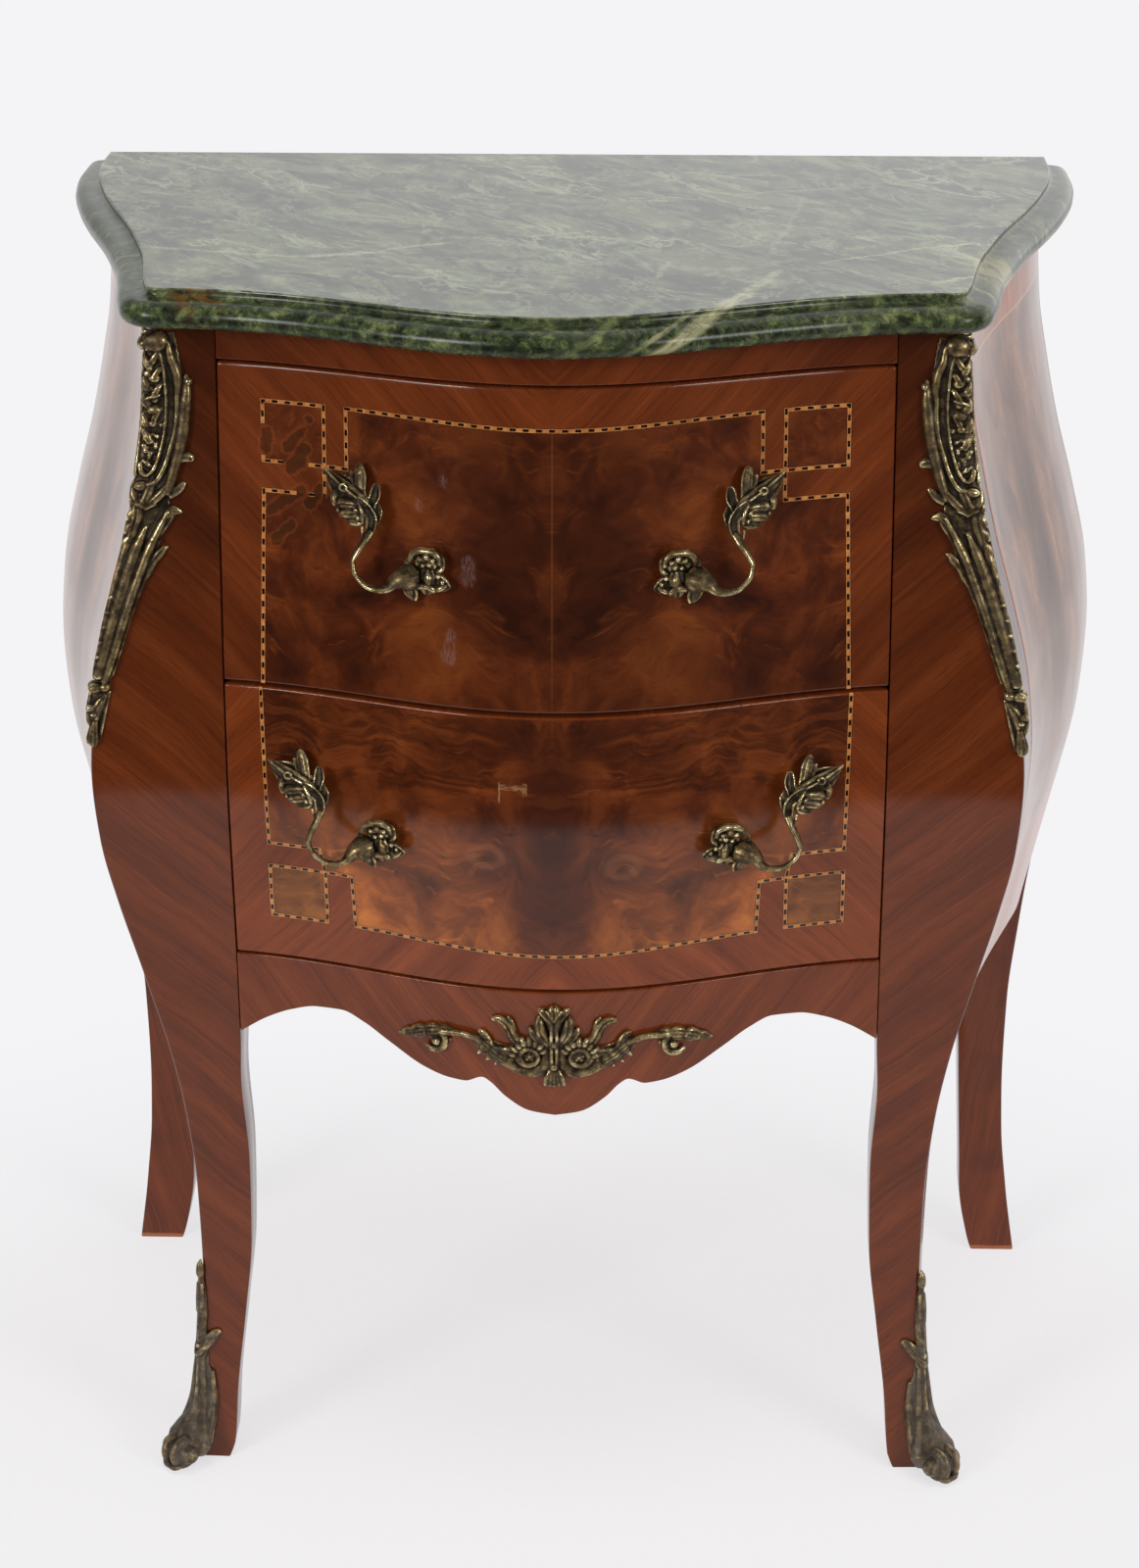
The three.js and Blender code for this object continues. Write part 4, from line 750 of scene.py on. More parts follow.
# %% Side panels
side_edge = table_curve([(0, 0), (0.12, 0.3), (0.25, 0.56), (0.38, 0.8), (0.48, 0.95), (0.55, 1),
                         (0.62, 0.94), (0.75, 0.72), (0.88, 0.4), (1, 0)])


def side_panel_skin():
    share = np.linspace(0, 1, 61)
    y = (POST_BACK + 0.02 + share * (BACK_POST_FRONT - POST_BACK - 0.04))[:, None]
    low = (SIDE_LOW + SIDE_ARCH * side_edge(share))[:, None]
    z = low + (TOP - low) * np.linspace(0, 1, 85)[None, :]
    y = np.broadcast_to(y, z.shape)
    face = np.stack([side_x(y, z), y, z], -1)
    return closed_board(face, face - (SIDE_THICK, 0, 0))


make_pair("side_panel", side_panel_skin(), VENEER["side"], "carcase", "veneer", edge=0.15)

# %% Top rail and apron
apron_edge = table_curve([
    (0, 0), (0.08, 0.05), (0.155, 0.22), (0.2, 0.385), (0.225, 0.435), (0.28, 0.36), (0.33, 0.375),
    (0.405, 0.46), (0.52, 0.71), (0.6, 0.895), (0.67, 0.995), (0.75, 0.985), (0.83, 0.905), (0.91, 0.77),
    (1, 0.555)])


def rail_skin():
    levels = np.linspace(TOP - RAIL_HEIGHT, TOP, 9)
    x, z = np.meshgrid(np.linspace(-RAIL_HALF, RAIL_HALF, 131), levels, indexing="ij")
    face = np.stack([x, front_y(x, z), z], -1)
    back = np.stack([x, front_y(x, TOP) + RAIL_DEPTH, z], -1)
    return closed_board(face, back)


def apron_skin():
    x = np.linspace(-RAIL_HALF, RAIL_HALF, 241)[:, None]
    low = APRON_LOW + APRON_ARCH * apron_edge(np.abs(x) / RAIL_HALF)
    z = low + (APRON_TOP - low) * np.linspace(0, 1, 27)[None, :]
    x = np.broadcast_to(x, z.shape)
    face = np.stack([x, front_y(x, z), z], -1)
    return closed_board(face, face + (0, APRON_THICK, 0))


make_piece("top_front_rail_face", rail_skin(), VENEER["rail"], "carcase", "veneer", ["top_front_rail"],
           edge=0.8)
make_piece("apron_front_face", apron_skin(), VENEER["apron"], "carcase", "veneer", ["apron_front"], edge=0.8)
print("side panels, rail and apron made")

# %% [markdown]
# ## Drawer fronts and their inlay plan
# Both drawer fronts carry one design: a burr field with stepped shoulders, a small burr square in
# each outer corner, and a striped border. Instead of cutting veneers out of a flat sheet, the grid
# of the drawer front is bent so that its own rows and columns run along every joint, and each quad
# takes the veneer of its region.

# %% Inlay plan
# Columns and rows of the plan: (outward distance or height, moved by a curve of the other direction)
INLAY = {
    "upper": dict(low=547.8, top=734.0,
                  columns=[lambda z: 118 + 0 * z, lambda z: 131 + 0 * z,
                           lambda z: 167 + 1.9 * np.clip((662 - z) / 57, 0, 1)
                           + 1.1 * np.clip((605 - z) / 57, 0, 1)],
                  rows=[lambda x: 662 + 0 * x, lambda x: 679 + 0 * x,
                        lambda x: 713.4 - 3.3 * np.cos(np.pi * np.clip(np.abs(x) / 118, 0, 1) / 2) ** 2]),
    "lower": dict(low=368.8, top=545.3,
                  columns=[lambda z: 118.7 + 1.3 * np.clip((z - 397) / 34, 0, 1),
                           lambda z: 136 + 3 * np.clip((z - 431) / 15, 0, 1),
                           lambda z: 170 + 2.6 * np.clip((z - 446) / 56, 0, 1)
                           - 0.9 * np.clip((z - 502) / 43, 0, 1)],
                  rows=[lambda x: 396.8 - 5.0 * np.cos(np.pi * np.clip(np.abs(x) / 119, 0, 1) / 2) ** 2,
                        lambda x: 430.8 + 0 * x, lambda x: 446 + 0 * x]),
}


def is_burr(drawer, column, row):
    """Whether the cell between two plan lines is burr. Columns count outwards, rows count upwards."""
    if drawer == "upper":
        return column == 0 and row <= 2 or column == 1 and row <= 0 or column == 2 and row in (0, 2)
    return column == 0 and row >= 1 or column == 1 and row >= 2 or column == 2 and row in (1, 3)


PLAN_STEP = 3.0


def plan_grid(drawer):
    """A grid of x and z that follows the plan, and the plan cell of each column and row."""
    plan = INLAY[drawer]
    middle = (plan["low"] + plan["top"]) / 2
    xs = [0] + [float(c(np.array(middle))) for c in plan["columns"]] + [DRAWER_HALF]
    zs = [plan["low"]] + [float(r(np.array(150.0))) for r in plan["rows"]] + [plan["top"]]

    def cut(keys):
        counts = [max(2, round((b - a) / PLAN_STEP)) for a, b in zip(keys, keys[1:])]
        shares = np.concatenate([i + np.arange(n) / n for i, n in enumerate(counts)] + [[len(counts)]])
        return shares, np.repeat(np.arange(len(counts)), counts)

    u, column = cut(xs)
    v, row = cut(zs)
    x = np.interp(u, np.arange(len(xs)), xs)[:, None] + np.zeros(len(v))
    z = np.interp(v, np.arange(len(zs)), zs)[None, :] + np.zeros((len(u), 1))
    for _ in range(2):
        lines = [0 * z] + [c(z) + 0 * z for c in plan["columns"]] + [0 * z + DRAWER_HALF]
        levels = [0 * x + plan["low"]] + [r(x) + 0 * x for r in plan["rows"]] + [0 * x + plan["top"]]
        x = sum(np.clip(1 - np.abs(u[:, None] - i), 0, 1) * line for i, line in enumerate(lines))
        z = sum(np.clip(1 - np.abs(v[None, :] - i), 0, 1) * line for i, line in enumerate(levels))
    x = np.concatenate([-x[:0:-1], x])
    z = np.concatenate([z[:0:-1], z])
    column = np.concatenate([column[::-1], column])
    return x, z, column, row


def drawer_inner_y(x, top, low):
    return np.maximum(front_y(x, top), front_y(x, low)) + DRAWER_FRONT_THICK


def drawer_front(drawer):
    plan = INLAY[drawer]
    x, z, column, row = plan_grid(drawer)
    face = np.stack([x, front_y(x, z), z], -1)
    back = np.stack([x, drawer_inner_y(x, plan["top"], plan["low"]), z], -1)
    regions = [int(is_burr(drawer, c, r)) for c in column for r in row]
    make_piece(f"{drawer}_drawer_front_face", closed_board(face, back), [VENEER[f"{drawer}_border"], BURR],
               f"{drawer}_drawer", "veneer", [f"{drawer}_drawer_front"], regions=regions, edge=1.3)
    return x.shape


for drawer in ("upper", "lower"):
    print(drawer, "drawer front grid", drawer_front(drawer))

# %% [markdown]
# ## Chequered stringing
# Thin lines of pale and black wood edge every burr field. A bump or a painted line would blur, so each line
# is a real ribbon: a pale band with a dark seam of glue on each side and a black peg every few millimetres.
# At a corner the ribbons are mitred. A few lengths on the left are lost on the real piece and stay lost here.

# %% Stringing
PALE_LINE = Finish("pale_stringing", **VARNISH)
PALE_LINE.set(Base_Color=PALE_LINE.ramp(PALE_LINE.noise(PALE_LINE.millimetres(), 5, 4), (0.3, "8a5527"),
                                        (0.5, "a96c3a"), (0.75, "c08850")))
BLACK_LINE = Finish("black_stringing", **VARNISH)
BLACK_LINE.set(Base_Color=BLACK_LINE.ramp(BLACK_LINE.noise(BLACK_LINE.millimetres(), 3, 3), (0.3, "0d0705"),
                                          (0.8, "1c0f08")))
STRING_STRIPS = np.array([-1.4, -1.2, -0.78, 0.78, 1.2, 1.4])
PEG_PITCH, PEG_FROM, PEG_TO = 7.3, 0.27, 0.73
FIELD_LIFT, SQUARE_LIFT = 0.10, 0.14


def ribbon(path, lift, lost=()):
    """Points, quads and colour marks (0 pale, 1 black) of a ribbon along a path of (x, z) points."""
    path = np.array(path, float)
    closed = np.allclose(path[0], path[-1])
    step = np.diff(path, axis=0)
    length = np.hypot(*step.T)
    normal = np.stack([-step[:, 1], step[:, 0]], 1) / length[:, None]
    before = np.vstack([normal[-1] if closed else normal[0], normal])
    after = np.vstack([normal, normal[0] if closed else normal[-1]])
    mitre = (before + after) / (1 + (before * after).sum(1))[:, None]
    at = np.r_[0, np.cumsum(length)]
    pitch = at[-1] / max(1, round(at[-1] / PEG_PITCH))
    cuts = np.arange(0, at[-1] - 1, pitch)
    stops = np.unique(np.round(np.concatenate([at, cuts + pitch * PEG_FROM, cuts + pitch * PEG_TO]), 3))
    sides = np.stack([np.interp(stops, at, mitre[:, k]) for k in (0, 1)], 1)
    inside = np.abs(stops[:, None] - at[None, :]).min(1) > 0.01
    segment = np.clip(np.searchsorted(at, stops, side="right") - 1, 0, len(normal) - 1)
    sides[inside] = normal[segment[inside]]
    centre = np.stack([np.interp(stops, at, path[:, k]) for k in (0, 1)], 1)
    flat = centre[:, None, :] + sides[:, None, :] * STRING_STRIPS[None, :, None]
    x, z = flat[..., 0], flat[..., 1]
    points = np.stack([x, front_y(x, z) - lift, z], -1)
    grid = np.arange(x.size).reshape(x.shape)
    faces, marks = [], []
    for i, middle in enumerate((stops[:-1] + stops[1:]) / 2):
        if any(a < middle < b for a, b in lost):
            continue
        peg = PEG_FROM < (middle % pitch) / pitch < PEG_TO
        faces += quads(grid[i, :-1], grid[i, 1:], grid[i + 1, 1:], grid[i + 1, :-1])
        marks += [1, 0, int(peg), 0, 1]
    return points.reshape(-1, 3), faces, marks


def lay_stringing(drawer, paths):
    points, faces, marks, count = [], [], [], 0
    for path, lift, lost in paths:
        shape, quad_list, colour = ribbon(path, lift, lost)
        points.append(shape)
        faces += (np.array(quad_list) + count).tolist()
        marks += colour
        count += len(shape)
    make_piece(f"{drawer}_drawer_stringing", (np.concatenate(points), faces), [PALE_LINE.material,
               BLACK_LINE.material], f"{drawer}_drawer", "veneer", regions=marks)
    print(drawer, "stringing:", len(paths), "lines,", sum(marks), "dark pieces")


def outline_of(drawer, corners):
    """A path through (side, column, row) corners of the plan. The rows low and top are the drawer's edges."""
    plan, path = INLAY[drawer], []
    for side, column, row in corners:
        x, z = 150.0, 600.0
        for _ in range(3):
            z = plan[row] if row in ("low", "top") else float(plan["rows"][row](np.array(x)))
            x = float(plan["columns"][column](np.array(z)))
        path.append((side * x, z))
    return path


def curved_line(drawer, row, half):
    xs = np.linspace(-half, half, 41)
    return [(x, float(INLAY[drawer]["rows"][row](np.array(x)))) for x in xs]


def square_of(drawer, side, low_row):
    ring = [(side, 1, low_row), (side, 1, low_row + 1), (side, 2, low_row + 1), (side, 2, low_row)]
    corners = outline_of(drawer, ring)
    return corners + corners[:1]


upper_field = (outline_of("upper", [(-1, 2, "low"), (-1, 2, 0), (-1, 1, 0), (-1, 1, 1), (-1, 0, 1)])
               + curved_line("upper", 2, 118)
               + outline_of("upper", [(1, 0, 1), (1, 1, 1), (1, 1, 0), (1, 2, 0), (1, 2, "low")]))
lower_field = (outline_of("lower", [(-1, 2, "top"), (-1, 2, 2), (-1, 1, 2), (-1, 1, 1), (-1, 0, 1)])
               + curved_line("lower", 0, 118.7)
               + outline_of("lower", [(1, 0, 1), (1, 1, 1), (1, 1, 2), (1, 2, 2), (1, 2, "top")]))
lay_stringing("upper", [(upper_field, FIELD_LIFT, ((132, 142.5), (145.5, 150.0))),
                        (square_of("upper", 1, 1), SQUARE_LIFT, ()),
                        (square_of("upper", -1, 1), SQUARE_LIFT, ((82, 103), (117.7, 130)))])
lay_stringing("lower", [(lower_field, FIELD_LIFT, ()), (square_of("lower", 1, 0), SQUARE_LIFT, ()),
                        (square_of("lower", -1, 0), SQUARE_LIFT, ())])

# %% [markdown]
# ## Green marble
# The slab is a dark serpentine marble: a green-black ground clouded with grey-green, crossed by thin
# cream veins. A polished slab seen at a low angle mirrors the wall behind it, so the shader only has to
# be smooth; the grey veil on the top comes by itself. The moulded edge is duller and shows the moss
# green of the stone without that veil, and the top is painted paler than the edge, a painted light for
# the light from above. Veins are the places where a cloud passes through one value.

# %% Marble
def green_marble():
    f = Finish("green_marble", IOR=1.53)
    place = f.millimetres()
    x, y, z = f.split(place)
    turn = math.radians(-50)
    along = f.total((x, math.cos(turn)), (y, math.sin(turn)))
    over = f.total((x, -math.sin(turn)), (y, math.cos(turn)))
    bed = f.join(f.product(along, 0.5), over, f.product(z, 0.9))
    flow = f.stirred(f.stirred(bed, 62, 60), 15, 11)
    clouds, mottle = f.noise(flow, 27, 7, 0.7), f.noise(flow, 6.5, 6, 0.74)
    dust = f.noise(place, 2.2, 4, 0.7)
    stone = f.ramp(clouds, (0.34, "1a1e16"), (0.44, "2c3125"), (0.51, "414636"), (0.58, "5d634a"),
                   (0.67, "7d8465"))
    stone = f.tint(stone, "868c5e", f.rise(mottle, 0.53, 0.64), 0.5)
    stone = f.tint(stone, "10140d", f.rise(mottle, 0.47, 0.36), 0.65)
    patches = f.noise(f.moved(flow, (140, 60, 0.0)), 40, 3, 0.6)
    stone = f.tint(stone, "191e17", f.rise(patches, 0.54, 0.66), 0.55)
    stone = f.tint(stone, "79805c", f.rise(patches, 0.45, 0.36), 0.4)
    stone = f.tint(stone, "8c9270", f.rise(dust, 0.55, 0.7), 0.3)

    def veins(size, seed, width, strength, colour, under):
        """Lines where a cloud passes through one value, broken up by a second cloud."""
        shifted = f.moved(flow, (seed, seed * 0.7, 0.0))
        value = f.apart(f.noise(shifted, size, 5, 0.6), 0.5)
        where = f.rise(f.noise(shifted, size * 1.6, 3), 0.47, 0.62)
        return f.tint(under, colour, f.rise(value, width, 0.0), where, strength)

    stone = veins(44, 310, 0.034, 0.65, "a3aa86", stone)
    stone = veins(17, 90, 0.05, 0.45, "939b76", stone)
    stone = veins(8, 200, 0.06, 0.35, "a4aa88", stone)
    # the moulded edge shows the moss green of the stone
    on_top = f.rise(z, 778.6, 779.8)
    moss = f.ramp(f.noise(f.stirred(place, 9, 7), 8, 7, 0.74), (0.37, "0b0f09"), (0.46, "1d2615"),
                  (0.53, "3b4727"), (0.6, "677142"), (0.7, "9b9d66"))
    stone = f.mix(f.scaled(on_top, -0.75, 0.75), stone, moss)
    # long veins: their place is made ragged and slants to the left on the way down (1326 is 1.7 * 780)
    slanted = f.join(f.scaled(z, -1.7, f.math("ADD", x, 1326.0)), y, 0.0)
    ragged = f.stirred(f.stirred(slanted, 45, 16), 7, 6)
    ragged_x, ragged_y, _ = f.split(ragged)
    streaky = f.scaled(f.rise(f.noise(ragged, 5, 4, 0.7), 0.38, 0.6), 0.6, 0.4)

    def streak(x0, y0, x1, y1, width, strength, colour, under):
        """One long vein from a place to another; it dips to the left on its way down through the slab."""
        length = math.hypot(x1 - x0, y1 - y0)
        cos, sin = (x1 - x0) / length, (y1 - y0) / length
        run = f.total((ragged_x, cos), (ragged_y, sin), (1.0, -(x0 * cos + y0 * sin)))
        off = f.math("ABSOLUTE", f.total((ragged_x, -sin), (ragged_y, cos), (1.0, x0 * sin - y0 * cos)))
        ends = f.product(f.rise(run, -3, 6), f.rise(run, length + 3, length - 6))
        inside = f.product(f.rise(off, width, width * 0.2), ends)
        return f.tint(under, colour, inside, strength, streaky)

    for row in ((-250, -42, -150, -65, 3, 0.6), (-150, -65, -112, -53, 5, 0.9), (-112, -54, -66, -29, 3, 0.7),
                (-124, -50, -94, -58, 4, 0.6), (-222, -100, -198, -91, 7, 0.4),
                (-190, -82, -163, -71, 5, 0.35), (-24, -12, 18, 1, 3.4, 0.6), (-274, 207, -220, 161, 4, 0.5),
                (-50, 157, -19, 107, 5, 0.55), (-60, 124, -39, 86, 4, 0.45), (-8, -122, 10, -130, 10, 0.35),
                (124, -54, 146, 100, 3, 0.3), (63, -69, 59, -112, 3, 0.5), (-29, -117, -36, -138, 3, 0.45),
                (186, -66, 168, -58, 4, 0.4), (72, 168, 124, 138, 5, 0.45), (32, 125, 60, 150, 8, 0.3),
                (100, 100, 190, 128, 4, 0.35)):
        stone = streak(*row, "a9ae8e", stone)
    for row in ((84, -225, 96, -176, 9, 0.95), (94, -178, 108, -144, 8, 0.8), (106, -146, 122, -112, 6, 0.6),
                (120, -114, 128, -86, 4, 0.5), (72, -215, 80, -180, 3, 0.6), (212, -120, 240, -104, 5, 0.7),
                (238, -104, 262, -124, 5, 0.6), (150, -72, 214, -34, 3, 0.5), (212, -36, 246, -22, 4, 0.7)):
        stone = streak(*row, "bdb88d", stone)
    stone = streak(38, -220, 47, -160, 5, 0.6, "828a58", stone)
    # one rusty patch, and pale ones at the corners and along the right side
    stains = f.rise(f.noise(flow, 22, 5, 0.65), 0.46, 0.58)
    for middle, reach, share, colour in (((-196, -140, 772), 26, 0.7, "8a5312"),
                                         ((-232, -134, 760), 16, 0.6, "a08a64"),
                                         ((236, -132, 778), 20, 0.5, "a9a470"),
                                         ((266, -66, 771), 52, 0.75, "b9b07c"),
                                         ((296, 40, 770), 46, 0.55, "a3a272")):
        away = f.away(place, middle)
        stone = f.tint(stone, colour, f.rise(away, reach, reach * 0.3), stains, share)
    # painted light: the top is painted paler than the moulded edge, standing for the light that falls on it
    # from above
    level = f.scaled(on_top, 0.26, 0.72)
    stone = f.mix(1.0, stone, f.join(level, level, level), "MULTIPLY")
    front = f.product(f.rise(f.math("ABSOLUTE", x), 268, 252), f.math("SUBTRACT", 1.0, on_top))
    return f.set(Base_Color=stone, Roughness=f.scaled(on_top, -0.07, 0.24),
                 Specular_IOR_Level=f.scaled(front, -0.3, 0.5),
                 Normal=f.bump(mottle, 0.02, 0.2))


MARBLE = green_marble()

# %% [markdown]
# The slab's edge is a thumb moulding under a small fillet. Its outline is drawn once at the top and
# pushed outwards and down by a table of the moulding's profile, with more rows where the profile
# turns, so that the highlight runs along it without corners.

# %% Marble top
marble_flare = table_curve([
    (0, 0), (0.07, 0.073), (0.11, 0.1), (0.23, 0.19), (0.305, 0.277), (0.43, 0.44), (0.583, 0.68),
    (0.694, 0.83), (0.833, 0.966), (0.917, 1), (1, 0.993)])


def marble_front_y(x):
    return -60 * wave(x, 240, 1.35)


def marble_edge():
    back, corner, turn_in = 360.0, 229.5, 7.0
    ys = np.linspace(back, turn_in, 60)
    side = np.stack([corner + 74 * marble_flare(ys / back), ys], 1)
    after = corner - turn_in
    end = np.array([after, float(marble_front_y(after))])
    t = np.linspace(0, 1, 9)[1:, None]
    turn = (1 - t)**2 * side[-1] + 2 * t * (1 - t) * np.array([corner, 0.0]) + t**2 * end
    xs = np.linspace(after, 0, 70)[1:]
    front = np.stack([xs, marble_front_y(xs)], 1)
    right_half = np.concatenate([side, turn, front])
    return np.concatenate([right_half, right_half[-2::-1] * (-1, 1)])


def marble_skin():
    edge = marble_edge()
    run = np.gradient(edge, axis=0)
    out = np.stack([run[:, 1], -run[:, 0]], 1) / np.hypot(*run.T)[:, None]
    out *= np.sign((out * (edge - (0, 180))).sum(1))[:, None]
    out[0], out[-1] = (1, 0), (-1, 0)
    thumb = np.array([(0.15, 0), (0.45, 0), (0.7, 0.03), (0.84, 0.08), (0.94, 0.16), (0.99, 0.26), (1, 0.36),
                      (0.97, 0.46), (0.9, 0.56), (0.8, 0.635), (0.68, 0.69), (0.54, 0.72), (0.38, 0.735),
                      (0.24, 0.745), (0.15, 0.755), (0.08, 0.772), (0.03, 0.795), (0, 0.82), (0, 0.9),
                      (0, 0.955), (-0.012, 0.985), (-0.03, 1), (-0.1, 1), (-0.3, 1)])
    rings = []
    for reach, height in thumb:
        moved = edge + out * reach * SLAB_MOULDING
        rings.append(np.c_[moved, np.full(len(edge), SLAB_TOP - SLAB_THICK * (1 - height))])
    return closed_rings(np.array(rings))


make_piece("marble_slab", marble_skin(), MARBLE, "carcase", "marble", ["marble_top"], sharp=50)
print("marble slab made")

# %% [markdown]
# ## Bronze tools
# The mounts are castings, chased by hand and never quite crisp. Each is drawn flat, in millimetres
# across, up and proud of the wood, out of tapering rods, crowned and veined leaves and beads. A
# place function then bends the drawing onto the drawer, the corner or the apron, and a voxel remesh
# melts all its parts into one skin, which is what casting does. How far a point stands above its
# smoothed surroundings says where hands and cloths have rubbed the dark patina off, so that value is
# kept on the mesh for the finish to read. No drawing comes nearer to the wood than a third of a
# millimetre, where the glue or the air behind a casting would be.

# %% Rods, leaves and beads
ROW_STEP, CASTING_VOXEL, LEAST_LIFT = 0.7, 0.55, 0.35
FINE_RELIEF, BROAD_RELIEF = 0.12, 0.5


def refined(rows):
    """Rows of (across, up, lift, radius, depth) with more rows between them on one smooth curve."""
    rows = np.array([tuple(r) + (1.0,) * (5 - len(r)) for r in rows], float)
    far = np.r_[0, np.cumsum(np.linalg.norm(np.diff(rows[:, :3], axis=0), axis=1))]
    at = np.linspace(0, far[-1], max(3, int(far[-1] / ROW_STEP) + 1))
    return np.stack([table_curve(np.c_[far, rows[:, k]])(at) for k in range(5)], 1)


def axes_along(centre):
    along = np.gradient(centre, axis=0)
    along /= np.linalg.norm(along, axis=1)[:, None]
    side = np.cross(along, (0, 0, 1.0))
    size = np.linalg.norm(side, axis=1)[:, None]
    side = np.where(size > 0.05, side / np.maximum(size, 0.05), (1.0, 0, 0))
    return along, side, np.cross(side, along)


def rod(*rows, sides=12):
    """A tapering rod with round ends. The fifth number of a row stretches its section towards the viewer."""
    path = refined(rows)
    along, side, out = axes_along(path[:, :3])
    index, shift, shrink = [], [], []
    for i, slant in [(0, -75), (0, -40)] + [(k, 0) for k in range(len(path))] + [(-1, 40), (-1, 75)]:
        index.append(i)
        shift.append(math.sin(math.radians(slant)))
        shrink.append(math.cos(math.radians(slant)))
    radius = path[index, 3][:, None]
    centre = path[index, :3] + along[index] * radius * np.array(shift)[:, None]
    radius = (radius * np.array(shrink)[:, None])[..., None]
    turn = np.linspace(0, 2 * np.pi, sides, endpoint=False)[None, :, None]
    deep = path[index, 4][:, None, None]
    rings = centre[:, None] + radius * (np.cos(turn) * side[index][:, None]
                                        + deep * np.sin(turn) * out[index][:, None])
    return closed_rings(rings)


def leaf(*rows, crown=0.4, veins=0, lobes=0, rim=0.0, thick=1.6):
    """A leaf through (across, up, lift, half width) rows, crowned or hollow, with veins, lobes or a rim."""
    path = refined(rows)
    _, side, out = axes_along(path[:, :3])
    s = np.linspace(-1, 1, 17)[None, :, None]
    t = np.linspace(0, 1, len(path))[:, None, None]
    half = path[:, 3][:, None, None] * (1 + (0.3 * np.abs(np.sin(np.pi * lobes * t)) - 0.15 if lobes else 0))
    height = half * (crown * (1 - s**2) + rim * np.exp(-((np.abs(s) - 0.82) / 0.2) ** 2))
    if veins:
        height = height - 0.7 * np.minimum(1, half / 2.5) * (0.5 + 0.5 * np.cos(2 * np.pi * veins * s)) ** 3
    top = path[:, None, :3] + half * s * side[:, None] + height * out[:, None]
    under = path[:, None, :3] + 0.9 * half * s * side[:, None] - thick * out[:, None]
    return closed_rings(np.concatenate([top, under[:, ::-1]], 1))


def bead(across, up, lift, radius, wide=1.0, high=1.0, proud=1.0):
    slant = np.radians(np.linspace(-84, 84, 13))[:, None, None]
    turn = np.linspace(0, 2 * np.pi, 16, endpoint=False)[None, :, None]
    ball = np.concatenate([wide * np.cos(slant) * np.cos(turn), high * np.cos(slant) * np.sin(turn),
                           proud * np.sin(slant) + 0 * turn], 2)
    return closed_rings(np.array([across, up, lift]) + radius * ball)


def loop(across, up, lift, radius, thin):
    around = np.radians(np.arange(0, 361, 15))
    return rod(*[(across + radius * math.cos(a), up + radius * math.sin(a), lift, thin) for a in around])


def other_side(parts):
    return [(mirrored(points), faces) for points, faces in parts]


print("a bead has", len(bead(0, 0, 0, 1)[0]), "points")

# %% Casting the parts into one skin
def neighbour_mean(points, edges, times):
    """Points pulled towards the mean of their neighbours, over and over."""
    count = np.bincount(edges.ravel(), minlength=len(points))[:, None]
    for _ in range(times):
        total = np.zeros_like(points)
        for k in range(3):
            total[:, k] = (np.bincount(edges[:, 0], points[edges[:, 1], k], len(points))
                           + np.bincount(edges[:, 1], points[edges[:, 0], k], len(points)))
        points = total / np.maximum(count, 1)
    return points


def cast_bronze(name, parts, body, node, lowest=0.0, finish=None):
    """parts are pairs of a drawing (points, faces) and the place function that bends it onto the piece."""
    points, faces, count = [], [], 0
    for (flat, quad_list), place in parts:
        points.append(np.stack(place(*np.asarray(flat).T), -1))
        faces += [[i + count for i in face] for face in quad_list]
        count += len(flat)
    points = np.concatenate(points)
    points[:, 2] = np.maximum(points[:, 2], lowest)
    piece = make_piece(name, (points, faces), finish or BRONZE, body, "bronze", [node])
    melt = piece.modifiers.new("melt", "REMESH")
    melt.mode, melt.voxel_size = "VOXEL", CASTING_VOXEL / 1000
    seen = piece.evaluated_get(bpy.context.evaluated_depsgraph_get())
    skin = bpy.data.meshes.new_from_object(seen)
    piece.modifiers.clear()
    piece.data = skin
    place = np.empty(len(skin.vertices) * 3)
    skin.vertices.foreach_get("co", place)
    edges = np.empty(len(skin.edges) * 2, dtype=np.int32)
    skin.edges.foreach_get("vertices", edges)
    place, edges = place.reshape(-1, 3) * 1000, edges.reshape(-1, 2)
    place = 0.45 * place + 0.55 * neighbour_mean(place, edges, 1)
    skin.vertices.foreach_set("co", (place / 1000).ravel())
    skin.update()
    normals = np.empty(len(place) * 3)
    skin.vertices.foreach_get("normal", normals)
    normals = normals.reshape(-1, 3)
    fine = ((place - neighbour_mean(place, edges, 3)) * normals).sum(1) / FINE_RELIEF
    broad = ((place - neighbour_mean(place, edges, 16)) * normals).sum(1) / BROAD_RELIEF
    worn = np.clip(0.4 + 0.2 * fine + 0.3 * broad, 0, 1)
    skin.attributes.new("worn", "FLOAT", "POINT").data.foreach_set("value", worn)
    skin.shade_smooth()
    print(name, len(skin.polygons), "faces, proud share", round(float((worn > 0.6).mean()), 2))
    return piece


# %% [markdown]
# ## Patinated bronze
# Old gilt bronze is dark brown-black in its hollows, olive where dust and wax have settled, and pale
# gold only on the ridges. The worn value drives all three, broken up by noise so that no edge is lit
# evenly. The metal is mixed with some plain reflectance, because dirt and wax dull a casting.

